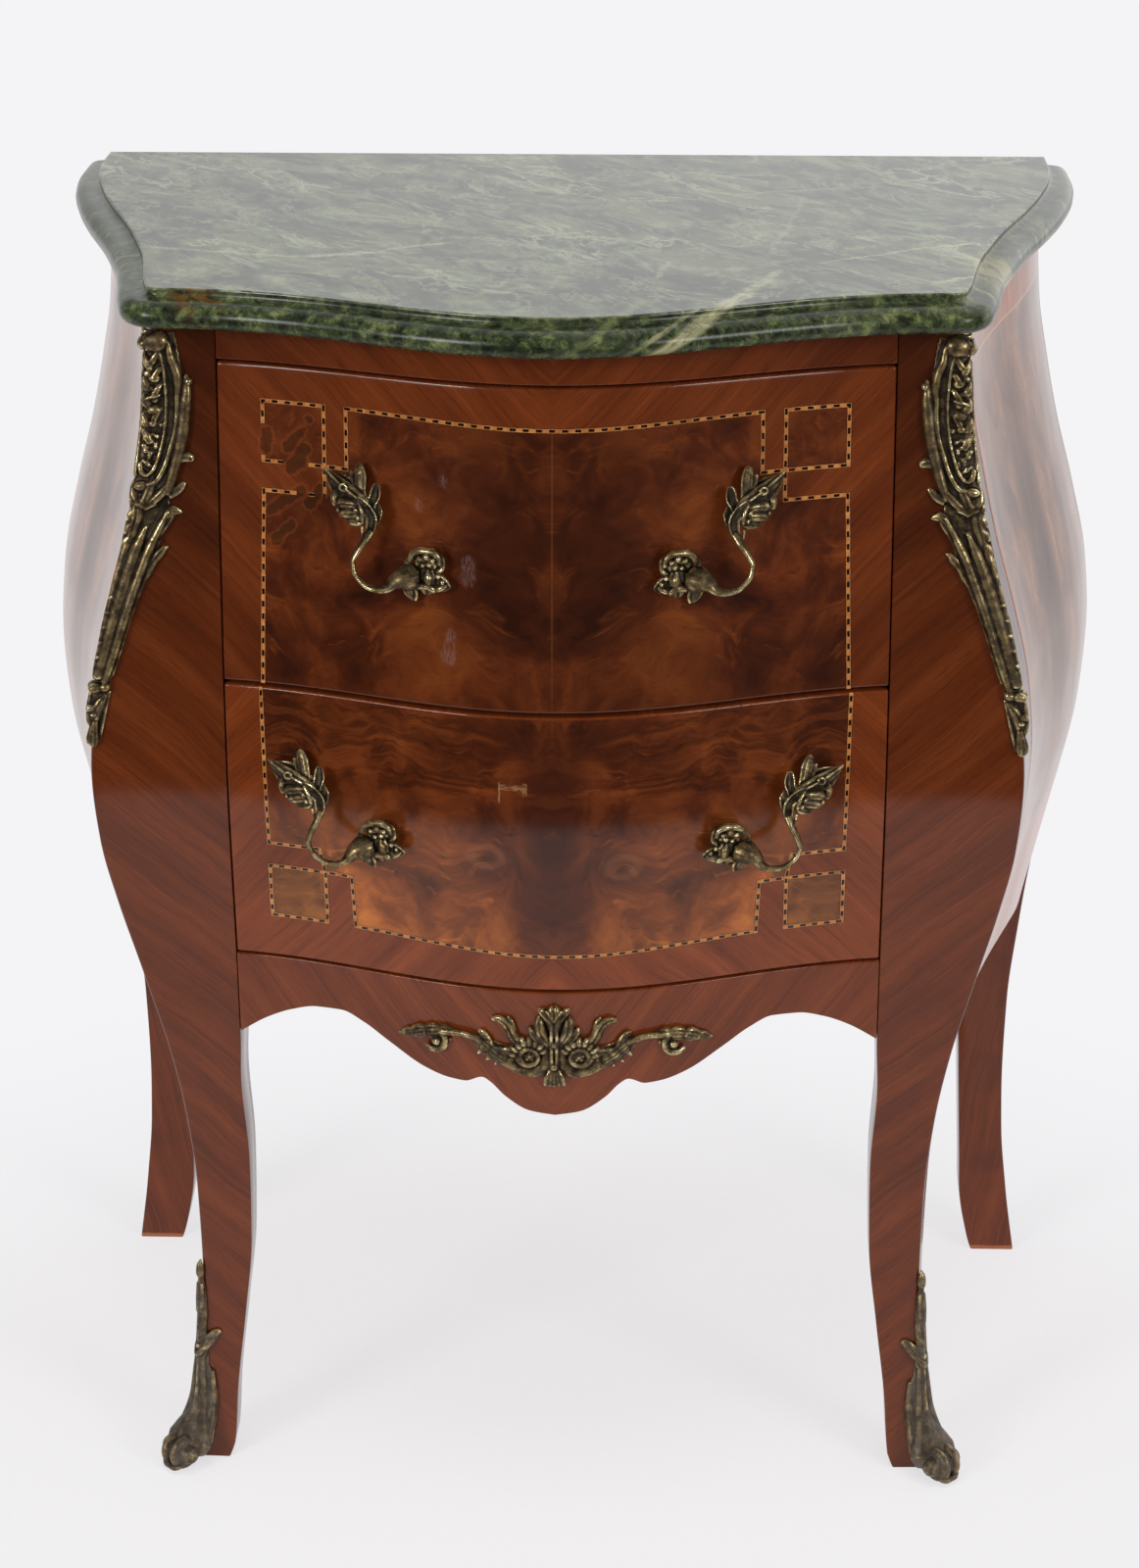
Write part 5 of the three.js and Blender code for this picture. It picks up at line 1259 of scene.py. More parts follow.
# %% Bronze
def patinated_bronze(name, gilt=0.0, grime=0.3, dust=0.0):
    f = Finish(name, Metallic=0.8 - dust)
    worn = f.add("Attribute", out=2, attribute_name="worn")
    place = f.millimetres()
    stain, grain = f.noise(place, 6, 5, 0.65), f.noise(place, 0.8, 3, 0.6)
    level = f.total((worn, 0.72), (f.rise(stain, 0.36, 0.64), 0.3), (grain, 0.34), (1.0, gilt - 0.18))
    metal = f.ramp(level, (0.2, "1e160d"), (0.4, "3e3121"), (0.57, "67553a"), (0.74, "9a855a"),
                   (0.92, "dccda0"))
    dirt = f.noise(f.stirred(place, 30, 20), 11, 4, 0.6)
    metal = f.tint(metal, "5b5347", f.rise(dirt, 0.46, 0.66), grime)
    metal = f.tint(metal, "766a5c", dust)
    rough = f.scaled(f.rise(level, 0.45, 0.9), -0.26, 0.5)
    return f.set(Base_Color=metal, Roughness=rough, Normal=f.bump(grain, 0.07, 0.5))


BRONZE = patinated_bronze("patinated_bronze")
SHOE_BRONZE = patinated_bronze("dull_bronze_of_sabots", gilt=-0.1, grime=0.7, dust=0.2)
print("bronze ready")

# %% [markdown]
# ## Drawer handles
# Each handle is a scroll of leafage outside and above, from which a flattened C-shaped grip swings
# down and in to a little trumpet that ends at a rosette. The two of a drawer mirror each other, and
# the lower pair is turned a little. Both are cast from one drawing, whose middle is the rosette.

# %% Handle drawing
def handle_drawing():
    grip = rod((-31.5, 24.4, 15, 2.3, 1.1), (-34.6, 19.8, 18, 2.1, 1.3), (-39, 13.6, 20.5, 1.8, 1.5),
               (-41.4, 8, 22, 1.6, 1.6), (-40.6, 3.1, 22.3, 1.6, 1.6), (-37.1, -2, 22.3, 1.6, 1.6),
               (-31.9, -5.3, 22, 1.7, 1.5), (-25.5, -6.2, 20.5, 2, 1.3), (-21, -5, 18.5, 2.7, 1.1),
               (-17.9, -2.3, 16.5, 4), (-14.8, -0.8, 14, 5.6), (-11.5, -0.4, 10.5, 7), (-9.5, -0.2, 8, 7.4),
               sides=18)
    leafage = [
        leaf((-46.5, 42.6, 12, 2), (-42, 42.3, 13.6, 2.6), (-38.6, 41, 14.6, 3), (-33.4, 37.4, 15.4, 3.3),
             (-30.6, 31.6, 15.4, 3.3), (-31.4, 25.6, 15.4, 2.6), (-32.8, 22.4, 16.4, 2.2), crown=-0.1,
             rim=0.4),
        rod((-48.5, 39, 9, 3.4), (-45, 36.6, 10, 4.8), (-41, 33.4, 10.4, 4.8), (-37.6, 29.6, 11, 3.4),
            sides=18),
        leaf((-37.6, 38, 14.4, 2.2), (-42.6, 38.8, 15.6, 2.9), (-47.6, 38.6, 15, 2.9),
             (-51, 36.8, 12.6, 1.8), crown=0.55, veins=1, thick=3),
        leaf((-36, 34.6, 14.6, 2.2), (-41, 34, 16.4, 2.9), (-46, 33.4, 15.6, 3), (-49.6, 31.4, 12.6, 1.8),
             crown=0.55, veins=1, thick=3),
        leaf((-35, 30.8, 14.6, 2), (-39, 29.6, 16, 2.7), (-43, 29, 14.8, 2.6), (-45.4, 27.6, 12, 1.4),
             crown=0.5, veins=1, thick=3),
        rod((-52.4, 43.6, 10.5, 1.6), (-53, 40.6, 11.6, 2), (-52.6, 37.4, 12, 1.7)),
        rod((-38.4, 40.6, 15.4, 1), (-36.4, 36, 16.6, 1.2), (-36, 31.4, 16.4, 1.1)),
        bead(-40, 36.4, 16.6, 1.2), bead(-38.6, 32.2, 16.8, 1.3), bead(-50.4, 34.4, 13.4, 1.2),
        leaf((-59, 54.2, 4.5, 0.8), (-56.8, 52.6, 6.5, 2.3), (-52.8, 50.1, 9, 3.3), (-46, 46.1, 12, 4.5),
             (-39.2, 43, 14, 3.8), (-33.3, 39.6, 15, 2.6), crown=0.4, veins=2),
        rod((-58.8, 54.6, 5.4, 0.8), (-53.4, 51.6, 10.3, 0.9), (-46.6, 47.4, 13.6, 0.9),
            (-39.6, 43.4, 15.6, 0.8)),
        loop(-47.2, 47.6, 14.2, 1.9, 0.75),
        leaf((-57.8, 48.8, 5, 0.8), (-55.8, 47.2, 6.6, 1.6), (-52.9, 44.3, 9, 2.6), (-48, 42, 12, 2.6),
             veins=1),
        leaf((-39.6, 59.6, 5, 1.6), (-38.4, 57.6, 6.4, 2.8), (-37.7, 52.9, 8, 3.6), (-37.5, 48.4, 10, 3.4),
             (-36.1, 43.4, 12, 2.2), crown=0.35, veins=2),
        leaf((-43.6, 54.8, 5, 0.8), (-42.5, 53, 6, 1.7), (-41, 49.3, 8.4, 2.3), (-38.8, 46, 11, 1.8),
             veins=1),
        leaf((-28, 50.2, 7, 1.2), (-28.4, 48.3, 8, 2.5), (-29, 44.3, 10, 3.3), (-30.9, 39.6, 12, 2.6),
             (-31.5, 36, 13, 1.5), crown=-0.15, rim=0.55),
        leaf((-27.3, 40.4, 9.5, 0.6), (-27.2, 38.8, 10.4, 1.3), (-26.6, 35.6, 12, 2.2),
             (-27.6, 31.3, 13, 1.9), (-29, 27.4, 14, 0.9), crown=0.1, rim=0.4),
        rod((-36.6, 28, 13, 0.9), (-36, 23, 14.6, 1), (-35, 20.6, 16, 0.8)),
        rod((-41.6, 36, 0.5, 4.2), (-41.6, 36, 12, 4.2)),
        leaf((-56, 50.5, 0.8, 2), (-49, 46, 1, 6), (-41.6, 40, 1, 7), (-36, 32, 1, 4), crown=0.1, thick=0.5),
    ]
    rosette = [
        bead(0, 0, 2.4, 9.2, proud=0.62), rod((0, 0, 0.5, 6.5), (0, 0, 4, 6.5)),
        rod((-9.8, 7.9, 8, 1.5), (-7.7, 13.3, 9.6, 1.8), (-2.4, 16, 10.6, 1.9), (2.8, 15.9, 10.6, 1.9),
            (7.3, 12.5, 9.6, 1.8), (7.8, 9, 8.6, 1.4)),
        rod((-5, 7.6, 9, 1.1), (-2, 11.3, 10.8, 1.3), (2.8, 11.4, 11, 1.3), (5.2, 8, 9.4, 1.2)),
        leaf((0, 15.4, 8, 5.4), (0, 10.4, 7, 7.4), (0, 5.2, 7.4, 6), crown=-0.15, veins=2, thick=4),
        bead(-3.6, 11.6, 11.4, 1.5), bead(0.4, 13.2, 12, 1.7), bead(4.2, 11, 11.2, 1.4),
        bead(2.2, 8.4, 11.4, 1.5), bead(-1.6, 7.8, 11.6, 1.3), bead(7.2, 2.2, 10.6, 1.4),
        bead(9.6, -1.2, 9.6, 1.3),
        rod((6.4, 14.6, 7.4, 1.2), (9.8, 10.6, 7, 1.5), (9.6, 6.4, 7, 1.4), (6.4, 3, 8, 1.2)),
        leaf((1.4, 6.2, 10.6, 0.5), (1.4, 4, 11.8, 1.4), (1.5, 1.4, 12.2, 2.3), (1.4, -1.8, 11.6, 2.6),
             crown=0.7, thick=4),
        rod((-4.4, 3.6, 10.4, 0.9), (-4.7, 0.4, 11, 1.2), (-5.3, -2.2, 10.6, 1)),
        rod((3.9, 5, 10, 0.8), (4.4, 2, 10.8, 1.1), (4, -1.8, 10.6, 1)),
        leaf((4.5, 0.9, 8.6, 3), (8.4, -1.4, 8.8, 4.2), (11.4, -4.5, 7, 3.4), (12.8, -6.4, 5.4, 1.6),
             crown=0.1, rim=0.35, thick=3.5),
        rod((4.8, -6.2, 8, 1.2), (5.8, -6, 8.6, 1.7), (8.2, -5, 8.8, 1.9), (10.4, -3.7, 8, 1.8),
            (12.2, -2.2, 6.8, 1.3)),
        rod((-4, -6, 9.4, 1.1), (-3.2, -4.8, 10.4, 1.7), (0.6, -3.7, 11.4, 2.1), (3.6, -5.2, 10.6, 2),
            (4.8, -7.2, 9, 1.4)),
        leaf((0, -3, 8, 4), (0.4, -7, 7, 4.6), (0.6, -10.6, 4.6, 3), crown=0.2, veins=1, thick=3.5),
        leaf((-8.4, 0.4, 8.6, 2.6), (-9.9, -2.4, 8.4, 3.4), (-9.7, -7.9, 7.4, 4.2), (-7.6, -13.4, 4.6, 2.6),
             (-6.6, -15.4, 3.2, 1), crown=0.3, veins=2, thick=3.5),
        rod((-6.4, -6.4, 8.4, 0.8), (-5.4, -10, 7, 1), (-6.2, -14.4, 4.8, 1)),
        bead(-10.3, -0.2, 11, 2.4), bead(-7.2, -0.9, 11.2, 1.6),
        rod((-10.6, 9.6, 7.4, 1.2), (-11.2, 5.5, 9, 1.6), (-9.8, 2.4, 10.2, 1.4)),
    ]
    return [grip] + leafage + rosette


def on_drawer(middle_x, middle_z, turn, side):
    """Bend a drawing onto the front of a drawer: side is -1 for the left handle, 1 for the right."""
    cos, sin = math.cos(math.radians(turn)), math.sin(math.radians(turn))

    def place(u, v, lift):
        x = side * (middle_x - (u * cos - v * sin))
        z = middle_z + v * cos + u * sin
        return x, front_y(x, z) - np.maximum(lift, LEAST_LIFT), z

    return place


drawing = handle_drawing()
for drawer, (middle_x, middle_z, turn) in {"upper": (71.5, 625, 0), "lower": (101, 458, 9)}.items():
    for side, name in ((-1, "left"), (1, "right")):
        place = on_drawer(middle_x, middle_z, turn, side)
        cast_bronze(f"{drawer}_handle_{name}_cast", [(part, place) for part in drawing], f"{drawer}_drawer",
                    f"{drawer}_handle_{name}")

# %% [markdown]
# ## Corner mounts
# A long casting covers each front corner: a rolled cap, a swelling cartouche with flowers inside a broad
# smooth scroll, and a tail of acanthus leaves and ribs that tapers to a collar and a husk. It wraps the
# arris, so its place function turns smoothly from the front to the side: across is positive on the front.

# %% Corner mount drawing
def on_corner(side):
    """Bend (across, height, lift) onto a front corner: side is 1 for the right corner, -1 for the left."""

    def place(across, z, lift):
        t = np.clip((across + 9) / 18, 0, 1)
        blend = t * t * (3 - 2 * t)
        size = np.hypot(1 - blend, blend)
        front, flank = np.maximum(across, 0), np.maximum(-across, 0)
        y_side = arris_y(z) + flank
        x = np.where(across >= 0, arris_x(z) - front, side_x(y_side, z))
        y = np.where(across >= 0, front_y(arris_x(z) - front, z), y_side)
        proud = np.maximum(lift, LEAST_LIFT)
        return side * (x + proud * (1 - blend) / size), y - proud * blend / size, z

    return place


def corner_cartouche():
    flowers = np.random.default_rng(4)
    small = [bead(flowers.uniform(1.2, 7.6), z, 3.2 + flowers.uniform(-0.2, 0.5), flowers.uniform(0.8, 1.25))
             for z in np.linspace(672, 692, 26)]
    large = [bead(*row, proud=0.8) for row in (
        (4.3, 724.4, 3.2, 2.6), (1.1, 726.8, 3, 1.7), (3, 718.4, 3.2, 1.6), (4.6, 712, 3.2, 1.8),
        (4.6, 706, 3, 3.1), (-0.4, 709.5, 3, 1.9), (8.6, 697.5, 3.2, 1.6), (4.2, 698.4, 3.4, 2.1),
        (0.8, 694, 3.2, 1.7), (3.2, 662.3, 4, 2.7))]
    leaflets = [leaf((x - 0.8 * k, z - 5, 2.8, 0.7), (x, z - 1.6, 4.2, 1.7), (x + 1.4 * k, z + 1.8, 4, 1.6),
                     (x + 3.4 * k, z + 4.4, 2.8, 0.5), crown=0.6, veins=1)
                for x, z, k in ((3.4, 736, 1), (1.8, 733, -1), (4.4, 727, 1), (1, 721, -1), (4.6, 717, 1),
                                (1.6, 711, -1), (5, 703, 1), (1.4, 700, -1), (3, 691, -1))]
    ground = leaf((5, 750, 0.8, 9.5), (5.5, 735, 1.4, 12), (6.5, 718, 1.8, 14), (7.5, 700, 2, 15.2),
                  (8, 685, 2, 15), (8, 672, 2, 14), (7.5, 660, 1.8, 12.4), (7, 648, 1.6, 12.5), crown=0.06,
                  thick=1.2)
    return small + large + leaflets + [
        ground, bead(4.6, 745.4, 2.4, 6.6, high=0.95, proud=0.7), bead(-2.8, 743.8, 3.8, 4.2, proud=0.95),
        rod((3.4, 751.2, 2.6, 1.3), (-2, 751, 4, 1.7), (-6, 748.2, 4.2, 1.5), (-7.4, 744, 3.6, 1)),
        rod((6.5, 748.4, 2.8, 1.4), (10.4, 744.6, 3.2, 1.7), (12, 737.2, 3.4, 2.3), (14.7, 731.2, 3.4, 2.6),
            (16.5, 725.2, 3.4, 2.6), (16.9, 720.2, 3.4, 2.2), (16.6, 714, 3.8, 1.6), (17, 706.4, 4, 1.4),
            (16.9, 698.9, 4.2, 1.4), (16.3, 691.9, 4.2, 1.4), (15, 683.9, 4.2, 1.4), (14, 677, 4.2, 1.5),
            (12, 669.4, 4.2, 1.6), (8.5, 664, 4.2, 1.7), (4.6, 662.8, 4, 1.4)),
        leaf((8.1, 743, 2.6, 2.2), (10.6, 731.4, 3, 3), (12, 723.9, 3, 3.4), (13.4, 716.4, 3, 3.4),
             (13.9, 706.4, 3, 3.4), (13.8, 696.4, 3, 3.4), (13, 686.4, 3, 3.2), (11.6, 678.3, 3, 3),
             (9.4, 671, 3, 2.6), (6, 666.6, 3, 2.2), crown=0.12, thick=2.4),
        rod((5.5, 741, 3.6, 0.9), (8.2, 731, 3.8, 0.9), (9.4, 722, 3.8, 0.9), (10.4, 712, 3.8, 0.9),
            (10.7, 702, 3.8, 0.9), (10.4, 692, 3.8, 0.9), (9.6, 683, 4, 1), (8.6, 676, 4.2, 1.1),
            (7, 671, 4.2, 1.1), (4.6, 668.6, 4.2, 1.1), (2.4, 670.5, 4.2, 1), (1.2, 675, 4, 0.8)),
        leaf((3.7, 741, 1.6, 2.5), (3, 730, 1.6, 4), (3, 716, 1.8, 4.8), (3.6, 700, 1.8, 5.4),
             (4.6, 688, 1.8, 5), (4.8, 678, 1.8, 4), (4.8, 670, 1.8, 2.4), crown=0.2, thick=1.2),
        rod((-2.8, 738, 3.2, 1.2), (-3.6, 722, 3.4, 1.4), (-3.8, 709, 3.4, 1.4), (-3.4, 695, 3.4, 1.4),
            (-2.4, 680, 3.4, 1.4), (-0.8, 668, 3.4, 1.3)),
        rod((6.8, 714.8, 4.4, 0.8), (3.6, 713.9, 4.8, 0.9), (0.4, 711.4, 4.4, 0.7)),
        rod((21.4, 725, 1.6, 1.6, 0.9), (21.8, 716, 2.2, 2.9, 0.8), (21.2, 707, 2.6, 3.6, 0.75),
            (20.9, 697, 2.8, 3.8, 0.75), (20.4, 687, 2.8, 3.7, 0.75), (19.6, 677, 2.8, 3.3, 0.75),
            (18.8, 668, 2.8, 3, 0.8), (17.4, 659, 2.6, 2.6, 0.8), sides=18),
        bead(22.6, 722.6, 2, 2.4),
        leaf((29.6, 676.6, 1.2, 1), (27.4, 678, 1.8, 2.7), (24.5, 678.8, 2.4, 3.2), (20.6, 677.4, 3, 2.8),
             veins=1),
        leaf((27, 664, 1.2, 1), (25, 661.6, 1.8, 2.5), (22.4, 659, 2.4, 3.2), (18.6, 656.6, 3, 2.8), veins=1),
        leaf((17.6, 664, 3, 1.6), (14.6, 658.6, 4, 2.9), (11, 654.4, 4.4, 3), (7.6, 651.6, 4, 1.8),
             crown=0.5, veins=1),
        leaf((-2.6, 666, 2.6, 1.4), (-1.6, 660, 3.8, 2.6), (0.6, 654.6, 4, 2.6), (2.6, 650, 3.4, 1.4),
             crown=0.5, veins=1),
        leaf((8.6, 668, 3, 1.4), (7.4, 661, 4.6, 2.8), (6.2, 655, 4.4, 2.6), (5.6, 650, 3.4, 1.2), crown=0.5,
             veins=1),
    ]


def corner_tail():
    fan = [rod((7, 649, 3.4, 1.1), (7 + 3.4 * math.sin(a), 650.5 + 4 * math.cos(a), 4, 1.5),
               (7 + 6 * math.sin(a), 650 + 7 * math.cos(a), 3, 1)) for a in np.radians((-75, -38, 0, 38, 75))]
    arris_leaves = [leaf((1.8, z + 4, 3.8, 1.3), (-0.6, z, 4, 1.9), (-3.4, z - 3.8, 2.8, 0.8), crown=0.4)
                    for z in (652, 644, 636, 628, 619, 610)]
    studs = [bead(0.6, z, 4.4, 1.5) for z in (597, 588, 579, 570, 561)]
    ground = leaf((7, 660, 1.6, 12.4), (7.4, 646, 1.6, 13), (7, 634, 1.6, 12.4), (5.6, 620, 1.6, 10.6),
                  (4.4, 600, 1.6, 9), (3.6, 580, 1.6, 7.8), (2.9, 560, 1.5, 6.6), (2.3, 545, 1.4, 5.6),
                  (1.9, 530, 1.2, 4.6), (1.9, 511, 0.8, 3.4), crown=0.1, thick=1)
    return fan + arris_leaves + studs + [
        ground,
        leaf((12, 663, 2, 4.8), (12, 655, 2, 5.4), (11.4, 648, 2, 7), (12, 640, 2, 7.4), (11.6, 630, 2, 6.8),
             (10.2, 618, 2, 6), (8.8, 604, 2, 5), (7.4, 590, 2, 4.2), (6.4, 575, 2, 3.6), (5.4, 560, 2, 3.2),
             (4.6, 548, 2, 3), crown=0.15, thick=1.4),
        leaf((28.2, 646.2, 1, 0.6), (26, 647, 1.6, 1.8), (22.6, 647.4, 2.4, 3.3), (18.5, 641.6, 3, 4.2),
             (15.7, 634, 3.4, 3.4), (13.2, 626, 3.6, 2), crown=0.35, veins=2),
        leaf((24, 626.2, 1, 0.6), (21.6, 625.2, 1.8, 1.9), (19, 622, 2.2, 2.9), (15.2, 613.9, 2.6, 2.9),
             (12.4, 603.4, 2.6, 2.5), (11.2, 592, 2.4, 1.9), (10.4, 580, 2.2, 1.5), (9.6, 565, 2, 1.2),
             (8.2, 549, 2, 0.9), veins=1, lobes=7),
        rod((19.4, 647, 3.4, 1.2), (16.2, 637, 3.8, 2.4), (12.7, 624.7, 4, 2.9), (10.3, 610.1, 4, 3),
            (9, 596.7, 3.9, 2.9), (7.9, 580, 3.8, 2.7), (6.9, 565, 3.7, 2.4), (5.9, 552, 3.5, 2),
            (5.3, 546, 3.4, 1.7), sides=16),
        leaf((2.4, 658, 3, 2), (2.6, 651.4, 3.6, 2.5), (3.2, 643.9, 3.6, 2.7), (2.6, 635.8, 3.4, 2.3),
             (2.2, 627.5, 3, 1.4), veins=1),
        rod((8.4, 638, 3, 1.6), (6.2, 627, 3.8, 2.6), (4.7, 612, 4, 2.8), (4, 597, 4, 2.7),
            (3.3, 580, 3.9, 2.5), (2.7, 563, 3.8, 2.2), (2.2, 549, 3.6, 1.9), sides=16),
        rod((1.4, 630, 3, 1.4), (0.4, 617, 3.4, 2), (-0.2, 600.7, 3.5, 2.1), (-0.6, 585, 3.5, 2),
            (-0.8, 570, 3.4, 1.8), (-0.8, 555, 3.2, 1.6), (-0.8, 548, 3, 1.4)),
        rod((-3.4, 640, 2.8, 1.3), (-3.6, 620, 2.8, 1.5), (-3.6, 600, 2.8, 1.5), (-3.4, 580, 2.8, 1.4),
            (-3, 560, 2.8, 1.3), (-2.4, 548, 2.8, 1.2)),
        bead(5.8, 542.6, 3.2, 2.8), bead(1.4, 541.8, 3.6, 3.1), bead(-2.8, 542.4, 3, 2.6),
        leaf((7, 538, 1.8, 1.2), (4.6, 533, 2.8, 2.9), (3, 528, 3.2, 3), (2.4, 522, 2.8, 2), crown=0.5,
             veins=1),
        bead(0.4, 529.4, 3.6, 2.3), bead(2.3, 525.6, 4.4, 1.2),
        rod((-2.6, 538, 2.6, 1.6), (-1.6, 528, 3, 1.8), (0.4, 520, 3, 1.5)),
        rod((8.5, 539, 1.2, 0.9), (6.9, 522.6, 1.2, 0.9), (5, 508.6, 1.2, 0.8)),
        leaf((2.6, 521, 3, 1.5), (2.3, 515, 3.4, 2.4), (2.3, 509.6, 3.4, 3), (2.5, 505, 2.2, 1.4), crown=0.6,
             veins=2),
    ]


mount = corner_cartouche() + corner_tail()
for side, name in ((1, "right"), (-1, "left")):
    place = on_corner(side)
    cast_bronze(f"corner_mount_{name}_cast", [(part, place) for part in mount], "carcase",
                f"corner_mount_{name}")

# %% [markdown]
# ## Sabots
# The shoe of each front leg starts as a thin strip on the arris, opens into leaves on both faces and
# ends in a scroll that stands out from the toe and carries the foot. Strip and leaves use the
# corner's place function. The scroll lies across the diagonal, so it gets a place function of its
# own: along its axle, up, and out.

# %% Sabot drawing
def sabot_drawing():
    both = [
        leaf((10.6, 89.6, 1.2, 0.9), (9.8, 90.6, 1.8, 2.4), (6.8, 89.2, 2.8, 3.2), (4, 84.6, 3.4, 2.9),
             (1.9, 78.6, 3.8, 2.1), (0.9, 71, 4, 1.4), veins=2),
        leaf((3.6, 62, 1.4, 0.8), (6.2, 54, 1.8, 2.2), (7.2, 44, 2, 3), (7, 33, 2.6, 3.3), (6, 22, 3.8, 3.2),
             (4.6, 12, 5, 2.6), (3.2, 4.5, 5.6, 1.5), crown=0.3, veins=1, lobes=6),
        rod((7.6, 56, 2, 0.7), (9.4, 47, 2.2, 0.8), (9.8, 38, 2.6, 0.9), (9.2, 28, 3.4, 1),
            (7.4, 14, 5, 1.1)),
        leaf((2.4, 66, 1.4, 2), (4.4, 57, 2, 3.8), (5.4, 46, 2.8, 4.8), (5.4, 35, 3.8, 5),
             (4.8, 24, 5.4, 4.8), (3.6, 13, 6.4, 4.2), crown=0.3, thick=1.7),
        rod((1.6, 74, 3.8, 1), (2.3, 56.2, 4, 1.3), (3.1, 40.6, 4.8, 1.5), (3.4, 31, 6.6, 1.6),
            (3.4, 24, 9.6, 1.6)),
    ]
    reeds = [
        rod((6.4, 62, 2, 1.4), (7.4, 48, 2.6, 2.2), (7, 36, 4.4, 2.6), (6.4, 27, 8, 2.8), (5.6, 21, 12, 2.6),
            sides=16)]
    return both + other_side(both) + [
        rod((-0.6, 142.4, 1.6, 1.1), (-0.6, 139, 2.4, 2.3), (-0.6, 134, 2.6, 2.6), (-0.6, 130, 2, 1.9),
            (-0.4, 124, 2, 2.5), (-0.2, 115, 2.2, 3), (0, 105, 2.2, 3), (0, 96, 2.4, 2.9), (0, 86, 2.6, 2.6)),
        rod((-1.6, 126, 4, 0.8), (-1.8, 116, 4.6, 0.8), (-1.4, 106, 4.8, 0.7)),
        rod((1.4, 126, 3.8, 0.7), (1.6, 116, 4.4, 0.8), (1.2, 110, 4.6, 0.7)),
        leaf((0.6, 110, 3.4, 0.8), (1.1, 104, 4, 2.3), (0.5, 97, 4.6, 2.6), (-0.3, 90, 4.4, 1.5), crown=0.5,
             veins=1),
        rod((-4.4, 118, 2.4, 1.2), (-5, 104, 3, 1.5), (-5.2, 92, 3.4, 1.5), (-4.6, 82, 3.8, 1.4)),
        rod((5.4, 83.6, 3, 1.2), (2, 79.6, 4.4, 1.4), (-0.4, 75.4, 5.2, 1.6), (-3.4, 79.4, 4.6, 1.4),
            (-6.4, 84, 3, 1.2)),
        bead(-0.4, 81.5, 4, 2),
        leaf((0, 80, 1.4, 3.4), (0, 60, 1.6, 4.6), (0, 45, 2.2, 5.6), (0, 33, 3.4, 6.6), (0, 24, 5.6, 7),
             crown=0.15, thick=1.2),
        rod((0, 74, 4.4, 0.9), (0, 57, 4.6, 1), (0, 44, 5.6, 1.1), (0, 33, 8.4, 1.4), (0, 26, 11.6, 1.6)),
        rod((-2.9, 75, 4, 1.6), (-3.5, 60, 4.6, 2.2), (-3.9, 46, 5.6, 2.4), (-4.1, 35, 8, 2.5),
            (-3.9, 27, 11, 2.4)),
        rod((0, 42, 2.4, 4), (0, 34, 4.4, 5.6), (0, 26, 8, 7.2), (0, 19, 12, 8), (0, 15, 15, 8), sides=32),
    ] + other_side(reeds) + reeds


def scroll_drawing():
    """The scroll at the toe, in millimetres along its axle, up and out from its middle."""
    bulb = rod((0.8, 0, 0, 8), (1.8, 0, 0, 9.8), (3.2, 0, 0, 11.1), (4.8, 0, 0, 11.5), (6.3, 0, 0, 10.7),
               (7.5, 0, 0, 9), (8.2, 0, 0, 6.8), sides=44)
    turns = np.linspace(0.3, 1.7, 34)
    curl = rod(*[(8.4, r * math.sin(2 * math.pi * t), r * math.cos(2 * math.pi * t), 0.5 + 0.07 * r)
                 for t, r in zip(turns, 7.8 - 3.6 * (turns - 0.3))])
    core = bead(8, 0, 0, 2.6, wide=0.7)
    middle = rod((-1.2, 0, 0, 8.6), (1.2, 0, 0, 8.6), sides=36)
    lip = rod((-7, -7.6, 7.4, 1.6), (-3.4, -8.4, 8.6, 2.2), (0, -8.2, 9, 2), (3.4, -8.4, 8.6, 2.2),
              (7, -7.6, 7.4, 1.6))
    return [bulb, curl, core] + other_side([bulb, curl, core]) + [middle, lip]


def on_scroll(side):
    middle = np.array(on_corner(1)(np.array([0.0]), np.array([12.6]), np.array([17.6])))[:, 0]
    slant = math.sqrt(0.5)

    def place(axle, up, out):
        axle = axle - 1.5
        return (side * (middle[0] + slant * (axle + out)), middle[1] + slant * (axle - out), middle[2] + up)

    return place


for side, name in ((1, "right"), (-1, "left")):
    shoe = [(part, on_corner(side)) for part in sabot_drawing()]
    shoe += [(part, on_scroll(side)) for part in scroll_drawing()]
    cast_bronze(f"sabot_{name}_cast", shoe, "carcase", f"sabot_{name}", lowest=0.5, finish=SHOE_BRONZE)

# %% [markdown]
# ## Apron mount
# In the middle of the apron sits a shell and palmette between two C-scrolls, with horned crests
# above and long leafy arms that end in curled buds. It is symmetrical, so half of it is drawn and
# mirrored. The place function only follows the wave of the apron.

